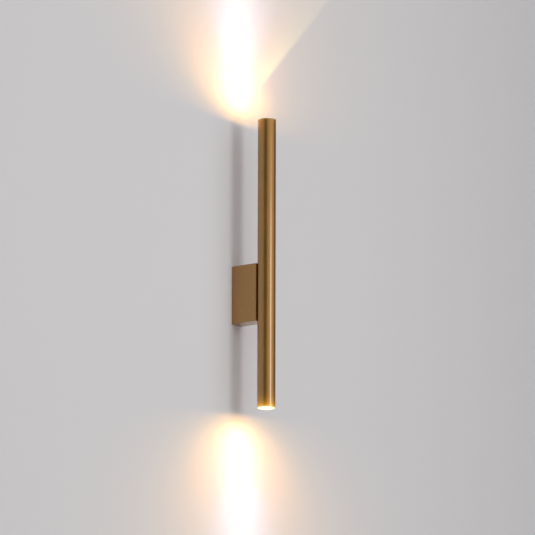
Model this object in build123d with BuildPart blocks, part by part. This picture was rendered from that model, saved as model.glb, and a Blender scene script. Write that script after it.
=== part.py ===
"""Tube wall light: a long round tube, lit at both ends, in the hollowed front of a slim wall box.

Millimetres. +Z is up, the wall is the plane y = 0 and the light reaches out to -Y. The origin is on the
wall, at the middle of the box's back. A "depth" below is a distance from the wall.
"""

from build123d import *
from math import hypot
import os

# ---------------------------------------------------------------- driving dimensions
# Tube
tube_diameter = 31.0
tube_wall = 1.2
tube_length = 500.0
tube_rise = 50.0  # middle of the tube above the middle of the box
saddle_depth = 3.5  # how far the tube sinks into the box's front
rim_chamfer = 0.3

# Wall box
box_width = 28.0
box_height = 100.0
box_depth = 50.0
box_wall = 2.0
saddle_wall = 2.0  # left between the hollow and the box's inside
box_edge_radius = 1.0

# Wall bracket
bracket_thickness = 1.5
bracket_gap = 0.3  # each side, to the inside of the box
bracket_corner = 1.5
ear_width = 12.0
ear_reach = 12.0
slot_spacing = 60.0
slot_length = 9.0
slot_width = 4.5
cable_entry_height = -12.0

# Cable grommet
cable_bore = 8.0
grommet_wall = 1.0
grommet_flange_width = 1.5
grommet_flange_thickness = 1.5

# Terminal block
terminal_height = 16.0
terminal_depth = 13.0
terminal_gap = 1.0  # to the sides of the box and to the grommet
terminal_corner = 1.0
peg_diameter = 3.5
clamp_wall = 0.8
clamp_length = 14.0
clamp_screw_spacing = 7.0
clamp_screw_diameter = 2.5
clamp_screw_head = 3.6
clamp_screw_head_height = 1.6
clamp_screw_shank = 3.0

# Earth connection
earth_screw_diameter = 3.0
earth_screw_head = 5.6
earth_screw_head_height = 2.2
lug_thickness = 0.8
lug_radius = 3.2
lug_ear_gap = 3.0
lug_barrel_wall = 0.5
lug_barrel_length = 5.0

# Leads
mains_lead_diameter = 2.0
lamp_lead_diameter = 1.6
lamp_lead_spacing = 6.0
mains_bend = 6.0
earth_bend = 9.0
driver_bend = 6.0
bushing_bend = 4.0
tube_bend = 4.5
clamp_lead_start = 1.0  # above the middle of the terminal block
earth_straight = 5.0  # above the clamps, before the earth lead slants to its lug
earth_slant = 7.0
driver_lead_end = 4.0  # how far each lead reaches into the driver
driver_lead_reach = 6.5  # how far each lead runs past the driver's end before it turns
solder_stand = 0.6  # how far a lamp lead's end stands out of its board

# Driver
driver_margin = 20.0  # from each end of the driver to the box's end
driver_side_gap = 1.0
driver_back_gap = 5.0
driver_front_gap = 6.9
driver_wall = 1.2
board_thickness = 1.6
driver_board_margin = 0.5
driver_post_height = 1.8
driver_post_diameter = 3.0
component_gap = 0.5  # to the lid
component_spacing = 4.0  # between the transformer's winding and what stands next to it
transformer_margin = 2.0
transformer_corner = 1.0
winding_overhang = 2.5  # past the transformer's core, at each end
winding_inset = 2.5
winding_drop = 1.0
winding_corner = 3.0
capacitor_inset = 8.5  # from the board's end
capacitor_edge = 0.5
pad_end_inset = 5.0
pad_side_inset = 2.0

# What holds the tube
tube_screw_diameter = 4.0
tube_screw_head = 7.0
tube_screw_head_height = 2.6
tube_screw_margin = 8.0  # from each screw to the box's end
washer_diameter = 9.0
washer_thickness = 0.8
nut_bar_width = 14.0
nut_bar_thickness = 5.0
bushing_bore = 8.4
bushing_wall = 0.8
bushing_flange = 1.0
bushing_reach = 2.0  # past the tube's wall
lead_bar_gap = 1.3

# Box fixing screws
box_screw_diameter = 3.0
box_screw_length = 6.0
box_screw_depth = 7.0

# Lamp in each end of the tube, counted inwards from the tube's end
diffuser_recess = 0.3
diffuser_thickness = 2.0
diffuser_skirt = 7.0
diffuser_skirt_wall = 1.0
lens_flange = 1.0
lens_flange_inset = 0.4
lens_cone_inset = 3.2
lens_pocket_gap = 0.8
lens_pocket_wall = 1.2
holder_height = 11.0
emitter_side = 7.0
emitter_base = 1.0
emitter_dome_radius = 2.6
thermal_pad_thickness = 0.5
sink_length = 40.0
groove_width = 2.2
groove_depth = 3.0
groove_pitch = 4.2
middle_land = 9.0
end_land = 2.0
board_screw_diameter = 2.0
board_screw_head = 3.8
board_screw_head_height = 1.4
board_screw_length = 6.0
board_screw_edge = 1.9  # from a screw's head to the board's edge
sink_screw_diameter = 2.5
sink_screw_head = 4.7
sink_screw_length = 7.0
sink_screw_recess = 0.2

# Clearances
saddle_clearance = 0.1
bore_fit = 0.1  # on the radius, round pieces in the tube
board_fit = 0.3  # on the radius, lamp boards in the tube
hole_fit = 0.1  # on the radius, pieces in their holes
thread_fit = 0.05  # on the radius, screws in their threads
clamp_clearance = 0.35  # on the radius, leads in their clamps
head_clearance = 0.3
lens_clearance = 0.2

# ---------------------------------------------------------------- what follows from them
tube_radius = tube_diameter / 2
bore_radius = tube_radius - tube_wall
tube_top = tube_rise + tube_length / 2
tube_bottom = tube_rise - tube_length / 2
tube_back = box_depth - saddle_depth
tube_axis = tube_back + tube_radius

inner_width = box_width - 2 * box_wall
inner_height = box_height - 2 * box_wall
inner_depth = tube_back - saddle_clearance - saddle_wall

bracket_width = inner_width - 2 * bracket_gap
bracket_height = inner_height - 2 * bracket_gap
slot_places = [(0, -slot_spacing / 2), (0, slot_spacing / 2)]

grommet_radius = cable_bore / 2 + grommet_wall
grommet_flange_radius = grommet_radius + grommet_flange_width

pole_pitch = (inner_width - 2 * terminal_gap) / 3
pole_places = [-pole_pitch, 0, pole_pitch]
earth_pole, neutral_pole, live_pole = pole_places
clamp_bore = mains_lead_diameter + 2 * clamp_clearance
clamp_radius = clamp_bore / 2 + clamp_wall
terminal_center = cable_entry_height + grommet_flange_radius + terminal_gap + terminal_height / 2
terminal_front = bracket_thickness + terminal_depth
clamp_depth = bracket_thickness + terminal_depth / 2
clamp_top = terminal_center + clamp_length / 2
clamp_screw_tip = clamp_depth + mains_lead_diameter / 2 + hole_fit
clamp_screw_seat = clamp_screw_tip + clamp_screw_shank
clamp_screw_places = [
    (x, terminal_center + end * clamp_screw_spacing / 2) for x in pole_places for end in (-1, 1)
]

lug_barrel_radius = mains_lead_diameter / 2 + hole_fit + lug_barrel_wall
lug_barrel_depth = bracket_thickness + lug_barrel_radius
earth_height = bracket_height / 2 - bracket_thickness - lug_ear_gap - lug_radius
lug_barrel_top = earth_height - lug_radius

driver_width = inner_width - 2 * driver_side_gap
driver_length = box_height - 2 * driver_margin
driver_back = terminal_front + driver_back_gap
driver_front = inner_depth - driver_front_gap
driver_board_width = driver_width - 2 * driver_wall - 2 * driver_board_margin
driver_board_length = driver_length - 2 * driver_wall - 2 * driver_board_margin
driver_board_depth = driver_back + driver_wall + driver_post_height
driver_board_front = driver_board_depth + board_thickness
driver_lead_depth = driver_board_front + mains_lead_diameter / 2 + hole_fit
driver_lead_turn = driver_length / 2 + driver_lead_reach
component_height = driver_front - driver_wall - driver_board_front - component_gap
component_place = (driver_board_width / 4, driver_board_length / 2 - capacitor_inset)
capacitor_radius = driver_board_width / 5
choke_wire_radius = component_height / 6
winding_length = 2 * (component_place[1] - capacitor_radius - component_spacing)

tube_screw_height = box_height / 2 - tube_screw_margin
tube_screw_places = [(0, -tube_screw_height), (0, tube_screw_height)]
nut_bar_length = 2 * tube_screw_height + nut_bar_width
nut_bar_front_radius = bore_radius - bore_fit - nut_bar_thickness
lead_offset = nut_bar_front_radius - lead_bar_gap - lamp_lead_diameter / 2
bushing_radius = bushing_bore / 2 + bushing_wall
bushing_end = tube_back + tube_wall + bushing_reach
front_lead_depth = (driver_front + inner_depth) / 2
tube_lead_depth = tube_axis - lead_offset

lens_front = diffuser_recess + diffuser_skirt
holder_front = lens_front + lens_flange
board_front = holder_front + holder_height
board_back = board_front + board_thickness
sink_front = board_back + thermal_pad_thickness
sink_middle = sink_front + sink_length / 2
lens_back = board_front - emitter_base - lens_clearance
module_radius = bore_radius - bore_fit
lens_radius = module_radius - lens_cone_inset
lens_pocket_radius = emitter_dome_radius + lens_pocket_gap
board_radius = bore_radius - board_fit
board_screw_offset = board_radius - board_screw_edge - board_screw_head / 2
board_screw_places = [(-board_screw_offset, 0), (board_screw_offset, 0)]
lead_places = [(lamp_lead_spacing / 2, lead_offset), (0, -lead_offset)]
lead_hole_radius = lamp_lead_diameter / 2 + 2 * hole_fit
holder_opening = hypot(lamp_lead_spacing / 2, lead_offset) + lamp_lead_diameter / 2 + lens_clearance
grooves_each_side = int((sink_length / 2 - end_land - middle_land / 2) // groove_pitch)

# Wall plane: x = X, y = Z, z = depth
wall = Plane.XZ

# Planes at the tube's ends: z runs into the tube and y points at the wall
ends = {
    "upper": Plane((0, -tube_axis, tube_top), x_dir=(-1, 0, 0), z_dir=(0, 0, -1)),
    "lower": Plane((0, -tube_axis, tube_bottom), x_dir=(1, 0, 0), z_dir=(0, 0, 1)),
}


def side(x):
    """Plane across the wall at x: its x is the depth and its y is the height."""
    return Plane((x, 0, 0), x_dir=(0, -1, 0), z_dir=(-1, 0, 0))


def half_section(end):
    """Plane through the tube's axis at one end: its x is the radius and its y runs into the tube."""
    return Plane(end.origin, x_dir=end.x_dir, z_dir=-end.y_dir)


def sink_screw_seat(end):
    """Plane on the head of a heat sink's screw, in the tube's rear, facing the wall."""
    middle = end.offset(sink_middle).origin
    return Plane(middle + Vector(0, tube_radius - sink_screw_recess, 0), z_dir=(0, 1, 0))


def box_screw_seat(end):
    """Plane on the outer end of a box fixing screw, with end = 1 at the top and -1 at the bottom."""
    return Plane((0, -box_screw_depth, end * (box_height / 2 - thread_fit)), z_dir=(0, 0, end))


def add_screw(seat, head, head_height, shank, length):
    """Screw with its head standing on the seat plane, its shank behind that plane and a slot in its head."""
    with Locations(seat):
        Cylinder(head / 2, head_height, align=(Align.CENTER, Align.CENTER, Align.MIN))
        Cylinder(shank / 2, length, align=(Align.CENTER, Align.CENTER, Align.MAX))
    with Locations(seat.offset(head_height)):
        Box(
            2 * head,
            head / 6,
            head_height / 2,
            align=(Align.CENTER, Align.CENTER, Align.MAX),
            mode=Mode.SUBTRACT,
        )


def cut_socket(seat, across, depth):
    """Hexagon socket sunk into a screw from the seat plane."""
    with BuildSketch(seat) as hexagon:
        RegularPolygon(across / 2, 6, major_radius=False)
    extrude(hexagon.sketch, amount=-depth, mode=Mode.SUBTRACT)


def add_lead(plane, points, bends, diameter):
    """Round lead along straight runs that are joined by tangent arcs."""
    with BuildLine(plane) as route:
        FilletPolyline(*points, radius=bends)
    with BuildSketch(Plane(route.line @ 0, z_dir=route.line % 0)) as section:
        Circle(diameter / 2)
    sweep(section.sketch, path=route.line)
    return sum(edge.length for edge in route.edges())


os.makedirs("parts", exist_ok=True)

# ---------------------------------------------------------------- tube
with BuildPart() as tube:
    with BuildSketch(Plane((0, -tube_axis, tube_bottom))):
        Circle(tube_radius)
        Circle(bore_radius, mode=Mode.SUBTRACT)
    extrude(amount=tube_length)
    chamfer(tube.edges().filter_by(GeomType.CIRCLE), rim_chamfer)
    # clearance holes for the screws and the bushing, through the rear wall alone
    with BuildSketch(wall.offset(tube_back)):
        Circle(bushing_radius + hole_fit)
        with Locations(*tube_screw_places):
            Circle(tube_screw_diameter / 2 + hole_fit)
    extrude(amount=tube_radius, mode=Mode.SUBTRACT)
    # countersunk holes for the heat sinks' screws
    for end in ends.values():
        with Locations(sink_screw_seat(end)):
            Cylinder(
                sink_screw_head / 2 + thread_fit,
                tube_wall,
                align=(Align.CENTER, Align.CENTER, Align.MIN),
                mode=Mode.SUBTRACT,
            )
            Cone(
                sink_screw_diameter / 2 + thread_fit,
                sink_screw_head / 2 + thread_fit,
                (sink_screw_head - sink_screw_diameter) / 2,
                align=(Align.CENTER, Align.CENTER, Align.MAX),
                mode=Mode.SUBTRACT,
            )
            Cylinder(
                sink_screw_diameter / 2 + thread_fit,
                2 * tube_wall,
                align=(Align.CENTER, Align.CENTER, Align.MAX),
                mode=Mode.SUBTRACT,
            )
tube.part.label = "tube"
export_step(tube.part, "parts/tube.step")

# ---------------------------------------------------------------- wall box
with BuildPart() as wall_box:
    with BuildSketch(wall):
        Rectangle(box_width, box_height)
    extrude(amount=box_depth)
    front_edges = wall_box.faces().sort_by(Axis.Y)[0].edges()
    fillet(front_edges + wall_box.edges().filter_by(Axis.Y), box_edge_radius)
    with BuildSketch(wall):
        Rectangle(inner_width, inner_height)
    extrude(amount=inner_depth, mode=Mode.SUBTRACT)
    # hollow that the tube lies in
    with BuildSketch(Plane((0, -tube_axis, -box_height / 2))):
        Circle(tube_radius + saddle_clearance)
    extrude(amount=box_height, mode=Mode.SUBTRACT)
    # holes for the bushing and the tube's screws, and for the fixing screws in the top and the bottom
    with BuildSketch(wall.offset(inner_depth)):
        Circle(bushing_radius + hole_fit)
        with Locations(*tube_screw_places):
            Circle(tube_screw_diameter / 2 + hole_fit)
    extrude(amount=box_depth - inner_depth, mode=Mode.SUBTRACT)
    for end in (1, -1):
        with Locations(box_screw_seat(end).offset(thread_fit)):
            Cylinder(
                box_screw_diameter / 2 + hole_fit,
                box_wall,
                align=(Align.CENTER, Align.CENTER, Align.MAX),
                mode=Mode.SUBTRACT,
            )
wall_box.part.label = "wall_box"
export_step(wall_box.part, "parts/wall_box.step")

with BuildPart() as box_fixing_screws:
    for end in (1, -1):
        seat = box_screw_seat(end)
        with Locations(seat):
            Cylinder(
                box_screw_diameter / 2,
                box_screw_length,
                align=(Align.CENTER, Align.CENTER, Align.MAX),
            )
        cut_socket(seat, box_screw_diameter / 2, box_screw_length / 3)
box_fixing_screws.part.label = "box_fixing_screws"
export_step(box_fixing_screws.part, "parts/box_fixing_screws.step")

# ---------------------------------------------------------------- wall bracket
with BuildPart() as wall_bracket:
    with BuildSketch(wall):
        RectangleRounded(bracket_width, bracket_height, bracket_corner)
        with Locations(*slot_places):
            SlotOverall(slot_length, slot_width, rotation=90, mode=Mode.SUBTRACT)
        with Locations((0, cable_entry_height)):
            Circle(grommet_radius + hole_fit, mode=Mode.SUBTRACT)
        with Locations((-pole_pitch / 2, terminal_center), (pole_pitch / 2, terminal_center)):
            Circle(peg_diameter / 2 + hole_fit, mode=Mode.SUBTRACT)
        with Locations((earth_pole, earth_height)):
            Circle(earth_screw_diameter / 2 + thread_fit, mode=Mode.SUBTRACT)
    extrude(amount=bracket_thickness)
    # ears that reach into the box at its top and bottom, tapped for the fixing screws
    with BuildSketch(wall.offset(bracket_thickness)):
        for end in (1, -1):
            with Locations((0, end * (bracket_height - bracket_thickness) / 2)):
                Rectangle(ear_width, bracket_thickness)
    extrude(amount=ear_reach)
    for end in (1, -1):
        with Locations(box_screw_seat(end)):
            Cylinder(
                box_screw_diameter / 2 + thread_fit,
                box_wall + bracket_gap + 2 * bracket_thickness,
                align=(Align.CENTER, Align.CENTER, Align.MAX),
                mode=Mode.SUBTRACT,
            )
wall_bracket.part.label = "wall_bracket"
export_step(wall_bracket.part, "parts/wall_bracket.step")

with BuildPart() as cable_grommet:
    with BuildSketch(wall):
        with Locations((0, cable_entry_height)):
            Circle(grommet_radius)
    extrude(amount=bracket_thickness)
    with BuildSketch(wall.offset(bracket_thickness)):
        with Locations((0, cable_entry_height)):
            Circle(grommet_flange_radius)
    extrude(amount=grommet_flange_thickness)
    fillet(cable_grommet.edges().sort_by(Axis.Y)[0], grommet_flange_thickness / 3)
    with BuildSketch(wall):
        with Locations((0, cable_entry_height)):
            Circle(cable_bore / 2)
    extrude(amount=bracket_thickness + grommet_flange_thickness, mode=Mode.SUBTRACT)
cable_grommet.part.label = "cable_grommet"
export_step(cable_grommet.part, "parts/cable_grommet.step")

# ---------------------------------------------------------------- terminal block
with BuildPart() as terminal_body:
    with BuildSketch(wall.offset(bracket_thickness)):
        with Locations((0, terminal_center)):
            Rectangle(3 * pole_pitch, terminal_height)
    extrude(amount=terminal_depth)
    fillet(terminal_body.edges().filter_by(Axis.Y), terminal_corner)
    # pegs that snap into the bracket
    with BuildSketch(wall):
        with Locations((-pole_pitch / 2, terminal_center), (pole_pitch / 2, terminal_center)):
            Circle(peg_diameter / 2)
    extrude(amount=bracket_thickness)
    # one bore for each clamp, and a well for each screw
    with BuildSketch(Plane.XY.offset(terminal_center - terminal_height / 2)):
        for x in pole_places:
            with Locations((x, -clamp_depth)):
                Circle(clamp_radius + thread_fit)
    extrude(amount=terminal_height, mode=Mode.SUBTRACT)
    with BuildSketch(wall.offset(clamp_depth)):
        with Locations(*clamp_screw_places):
            Circle(clamp_screw_head / 2 + hole_fit)
    extrude(amount=terminal_depth / 2, mode=Mode.SUBTRACT)
terminal_body.part.label = "terminal_body"
export_step(terminal_body.part, "parts/terminal_body.step")

with BuildPart() as terminal_clamps:
    with BuildSketch(Plane.XY.offset(terminal_center - clamp_length / 2)):
        for x in pole_places:
            with Locations((x, -clamp_depth)):
                Circle(clamp_radius)
                Circle(clamp_bore / 2, mode=Mode.SUBTRACT)
    extrude(amount=clamp_length)
    with BuildSketch(wall.offset(clamp_depth)):
        with Locations(*clamp_screw_places):
            Circle(clamp_screw_diameter / 2 + thread_fit)
    extrude(amount=clamp_radius, mode=Mode.SUBTRACT)
terminal_clamps.part.label = "terminal_clamps"
export_step(terminal_clamps.part, "parts/terminal_clamps.step")

with BuildPart() as terminal_screws:
    for x, z in clamp_screw_places:
        seat = Plane((x, -clamp_screw_seat, z), z_dir=(0, -1, 0))
        add_screw(seat, clamp_screw_head, clamp_screw_head_height, clamp_screw_diameter, clamp_screw_shank)
terminal_screws.part.label = "terminal_screws"
export_step(terminal_screws.part, "parts/terminal_screws.step")

# ---------------------------------------------------------------- earth connection
with BuildPart() as earth_lug:
    with BuildSketch(wall.offset(bracket_thickness)):
        with Locations((earth_pole, earth_height)):
            Circle(lug_radius)
            Rectangle(
                2 * lug_barrel_radius,
                lug_radius + lug_barrel_length,
                align=(Align.CENTER, Align.MAX),
            )
            Circle(earth_screw_diameter / 2 + hole_fit, mode=Mode.SUBTRACT)
    extrude(amount=lug_thickness)
    with BuildSketch(Plane.XY.offset(lug_barrel_top)):
        with Locations((earth_pole, -lug_barrel_depth)):
            Circle(lug_barrel_radius)
    extrude(amount=-lug_barrel_length)
    with BuildSketch(Plane.XY.offset(lug_barrel_top)):
        with Locations((earth_pole, -lug_barrel_depth)):
            Circle(mains_lead_diameter / 2 + hole_fit)
    extrude(amount=-lug_barrel_length, mode=Mode.SUBTRACT)
earth_lug.part.label = "earth_lug"
export_step(earth_lug.part, "parts/earth_lug.step")

with BuildPart() as earth_screw:
    add_screw(
        Plane((earth_pole, -bracket_thickness - lug_thickness, earth_height), z_dir=(0, -1, 0)),
        earth_screw_head,
        earth_screw_head_height,
        earth_screw_diameter,
        bracket_thickness + lug_thickness - hole_fit,
    )
earth_screw.part.label = "earth_screw"
export_step(earth_screw.part, "parts/earth_screw.step")

with BuildPart() as earth_lead:
    earth_points = [
        (clamp_depth, terminal_center + clamp_lead_start),
        (clamp_depth, clamp_top + earth_straight),
        (lug_barrel_depth, clamp_top + earth_straight + earth_slant),
        (lug_barrel_depth, lug_barrel_top - lug_thickness),
    ]
    earth_length = add_lead(side(earth_pole), earth_points, earth_bend, mains_lead_diameter)
earth_lead.part.label = "earth_lead"
export_step(earth_lead.part, "parts/earth_lead.step")

# ---------------------------------------------------------------- driver
with BuildPart() as driver_base:
    with BuildSketch(wall.offset(driver_back)):
        RectangleRounded(driver_width, driver_length, driver_wall)
    extrude(amount=driver_front - driver_back - driver_wall)
    with BuildSketch(wall.offset(driver_back + driver_wall)):
        Rectangle(driver_width - 2 * driver_wall, driver_length - 2 * driver_wall)
    extrude(amount=driver_front - driver_back, mode=Mode.SUBTRACT)
    # posts that carry the circuit board
    with BuildSketch(wall.offset(driver_back + driver_wall)):
        with GridLocations(
            driver_board_width - driver_post_diameter, driver_board_length - driver_post_diameter, 2, 2
        ):
            Circle(driver_post_diameter / 2)
    extrude(amount=driver_post_height)
    # holes for the mains leads in the top end and the lamp leads in the bottom end
    with BuildSketch(Plane.XY.offset(driver_length / 2)):
        with Locations((neutral_pole, -driver_lead_depth), (live_pole, -driver_lead_depth)):
            Circle(mains_lead_diameter / 2 + hole_fit)
    extrude(amount=-driver_wall, mode=Mode.SUBTRACT)
    with BuildSketch(Plane.XY.offset(-driver_length / 2)):
        with Locations((0, -driver_lead_depth)):
            with GridLocations(lamp_lead_spacing, 0, 2, 1):
                Circle(lamp_lead_diameter / 2 + hole_fit)
    extrude(amount=driver_wall, mode=Mode.SUBTRACT)
driver_base.part.label = "driver_base"
export_step(driver_base.part, "parts/driver_base.step")

with BuildPart() as driver_lid:
    with BuildSketch(wall.offset(driver_front - driver_wall)):
        RectangleRounded(driver_width, driver_length, driver_wall)
    extrude(amount=driver_wall)
    chamfer(driver_lid.faces().sort_by(Axis.Y)[0].edges(), driver_wall / 3)
driver_lid.part.label = "driver_lid"
export_step(driver_lid.part, "parts/driver_lid.step")

with BuildPart() as driver_pcb:
    with BuildSketch(wall.offset(driver_board_depth)):
        Rectangle(driver_board_width, driver_board_length)
    extrude(amount=board_thickness)
driver_pcb.part.label = "driver_pcb"
export_step(driver_pcb.part, "parts/driver_pcb.step")

with BuildPart() as driver_transformer:
    with BuildSketch(wall.offset(driver_board_front)):
        Rectangle(driver_board_width - 2 * transformer_margin, winding_length - 2 * winding_overhang)
    extrude(amount=component_height)
    fillet(driver_transformer.edges().filter_by(Axis.Y), transformer_corner)
    with BuildSketch(wall.offset(driver_board_front)):
        RectangleRounded(
            driver_board_width - 2 * transformer_margin - 2 * winding_inset, winding_length, winding_corner
        )
    extrude(amount=component_height - winding_drop)
driver_transformer.part.label = "driver_transformer"
export_step(driver_transformer.part, "parts/driver_transformer.step")

with BuildPart() as driver_capacitors:
    with BuildSketch(wall.offset(driver_board_front)):
        for way in (1, -1):
            with Locations((-way * component_place[0], way * component_place[1])):
                Circle(capacitor_radius)
    extrude(amount=component_height)
    fillet(driver_capacitors.edges().filter_by(GeomType.CIRCLE), capacitor_edge)
driver_capacitors.part.label = "driver_capacitors"
export_step(driver_capacitors.part, "parts/driver_capacitors.step")

with BuildPart() as driver_choke:
    choke_seat = wall.offset(driver_board_front + choke_wire_radius)
    with Locations(choke_seat * Location((-component_place[0], -component_place[1], 0))):
        Torus(capacitor_radius - choke_wire_radius, choke_wire_radius)
driver_choke.part.label = "driver_choke"
export_step(driver_choke.part, "parts/driver_choke.step")

with BuildPart() as driver_pad:
    with BuildSketch(wall.offset(driver_back + pad_side_inset)):
        with Locations((-inner_width / 2, 0)):
            Rectangle(driver_side_gap, driver_length - 2 * pad_end_inset, align=(Align.MIN, Align.CENTER))
    extrude(amount=driver_front - driver_wall - driver_back - 2 * pad_side_inset)
driver_pad.part.label = "driver_pad"
export_step(driver_pad.part, "parts/driver_pad.step")

with BuildPart() as mains_leads:
    for x in (neutral_pole, live_pole):
        mains_points = [
            (clamp_depth, terminal_center + clamp_lead_start),
            (clamp_depth, driver_lead_turn),
            (driver_lead_depth, driver_lead_turn),
            (driver_lead_depth, driver_length / 2 - driver_lead_end),
        ]
        mains_length = add_lead(side(x), mains_points, mains_bend, mains_lead_diameter)
mains_leads.part.label = "mains_leads"
export_step(mains_leads.part, "parts/mains_leads.step")

# ---------------------------------------------------------------- what holds the tube to the box
with BuildPart() as tube_nut_bar:
    with BuildSketch(Plane((0, -tube_axis, -nut_bar_length / 2))):
        Circle(bore_radius - bore_fit)
        with Locations((0, nut_bar_front_radius)):
            Rectangle(
                nut_bar_width,
                nut_bar_thickness,
                align=(Align.CENTER, Align.MIN),
                mode=Mode.INTERSECT,
            )
    extrude(amount=nut_bar_length)
    with BuildSketch(wall.offset(tube_back)):
        Circle(bushing_radius + hole_fit)
        with Locations(*tube_screw_places):
            Circle(tube_screw_diameter / 2 + thread_fit)
    extrude(amount=tube_radius, mode=Mode.SUBTRACT)
tube_nut_bar.part.label = "tube_nut_bar"
export_step(tube_nut_bar.part, "parts/tube_nut_bar.step")

screw_reach = tube_axis - nut_bar_front_radius - hole_fit - inner_depth + washer_thickness
with BuildPart() as tube_screws:
    for x, z in tube_screw_places:
        seat = Plane((x, -inner_depth + washer_thickness, z), z_dir=(0, 1, 0))
        with Locations(seat):
            Cylinder(
                tube_screw_head / 2,
                tube_screw_head_height,
                align=(Align.CENTER, Align.CENTER, Align.MIN),
            )
            Cylinder(
                tube_screw_diameter / 2,
                screw_reach,
                align=(Align.CENTER, Align.CENTER, Align.MAX),
            )
        cut_socket(seat.offset(tube_screw_head_height), tube_screw_head / 2, tube_screw_head_height / 2)
tube_screws.part.label = "tube_screws"
export_step(tube_screws.part, "parts/tube_screws.step")

with BuildPart() as tube_screw_washers:
    with BuildSketch(wall.offset(inner_depth)):
        with Locations(*tube_screw_places):
            Circle(washer_diameter / 2)
            Circle(tube_screw_diameter / 2 + hole_fit, mode=Mode.SUBTRACT)
    extrude(amount=-washer_thickness)
tube_screw_washers.part.label = "tube_screw_washers"
export_step(tube_screw_washers.part, "parts/tube_screw_washers.step")

with BuildPart() as wire_bushing:
    with BuildSketch(wall.offset(inner_depth - bushing_flange)):
        Circle(bushing_radius + bushing_wall)
    extrude(amount=bushing_flange)
    with BuildSketch(wall.offset(inner_depth)):
        Circle(bushing_radius)
    extrude(amount=bushing_end - inner_depth)
    with BuildSketch(wall.offset(inner_depth - bushing_flange)):
        Circle(bushing_bore / 2)
    extrude(amount=bushing_end - inner_depth + bushing_flange, mode=Mode.SUBTRACT)
wire_bushing.part.label = "wire_bushing"
export_step(wire_bushing.part, "parts/wire_bushing.step")

# ---------------------------------------------------------------- leads to the lamps
lamp_lead_bends = [driver_bend, driver_bend, bushing_bend, tube_bend]
with BuildPart() as led_supply_leads:
    for end in ends.values():
        place = end.offset(board_front - solder_stand) * Location((lamp_lead_spacing / 2, 0, 0))
        lamp_points = [
            (driver_lead_depth, -driver_length / 2 + driver_lead_end),
            (driver_lead_depth, -driver_lead_turn),
            (front_lead_depth, -driver_lead_turn),
            (front_lead_depth, 0),
            (tube_lead_depth, 0),
            (tube_lead_depth, place.position.Z),
        ]
        supply_length = add_lead(side(place.position.X), lamp_points, lamp_lead_bends, lamp_lead_diameter)
led_supply_leads.part.label = "led_supply_leads"
export_step(led_supply_leads.part, "parts/led_supply_leads.step")

with BuildPart() as led_link_lead:
    with BuildSketch(ends["lower"].offset(board_front - solder_stand)):
        with Locations((0, -lead_offset)):
            Circle(lamp_lead_diameter / 2)
    extrude(amount=tube_length - 2 * (board_front - solder_stand))
led_link_lead.part.label = "led_link_lead"
export_step(led_link_lead.part, "parts/led_link_lead.step")

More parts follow.
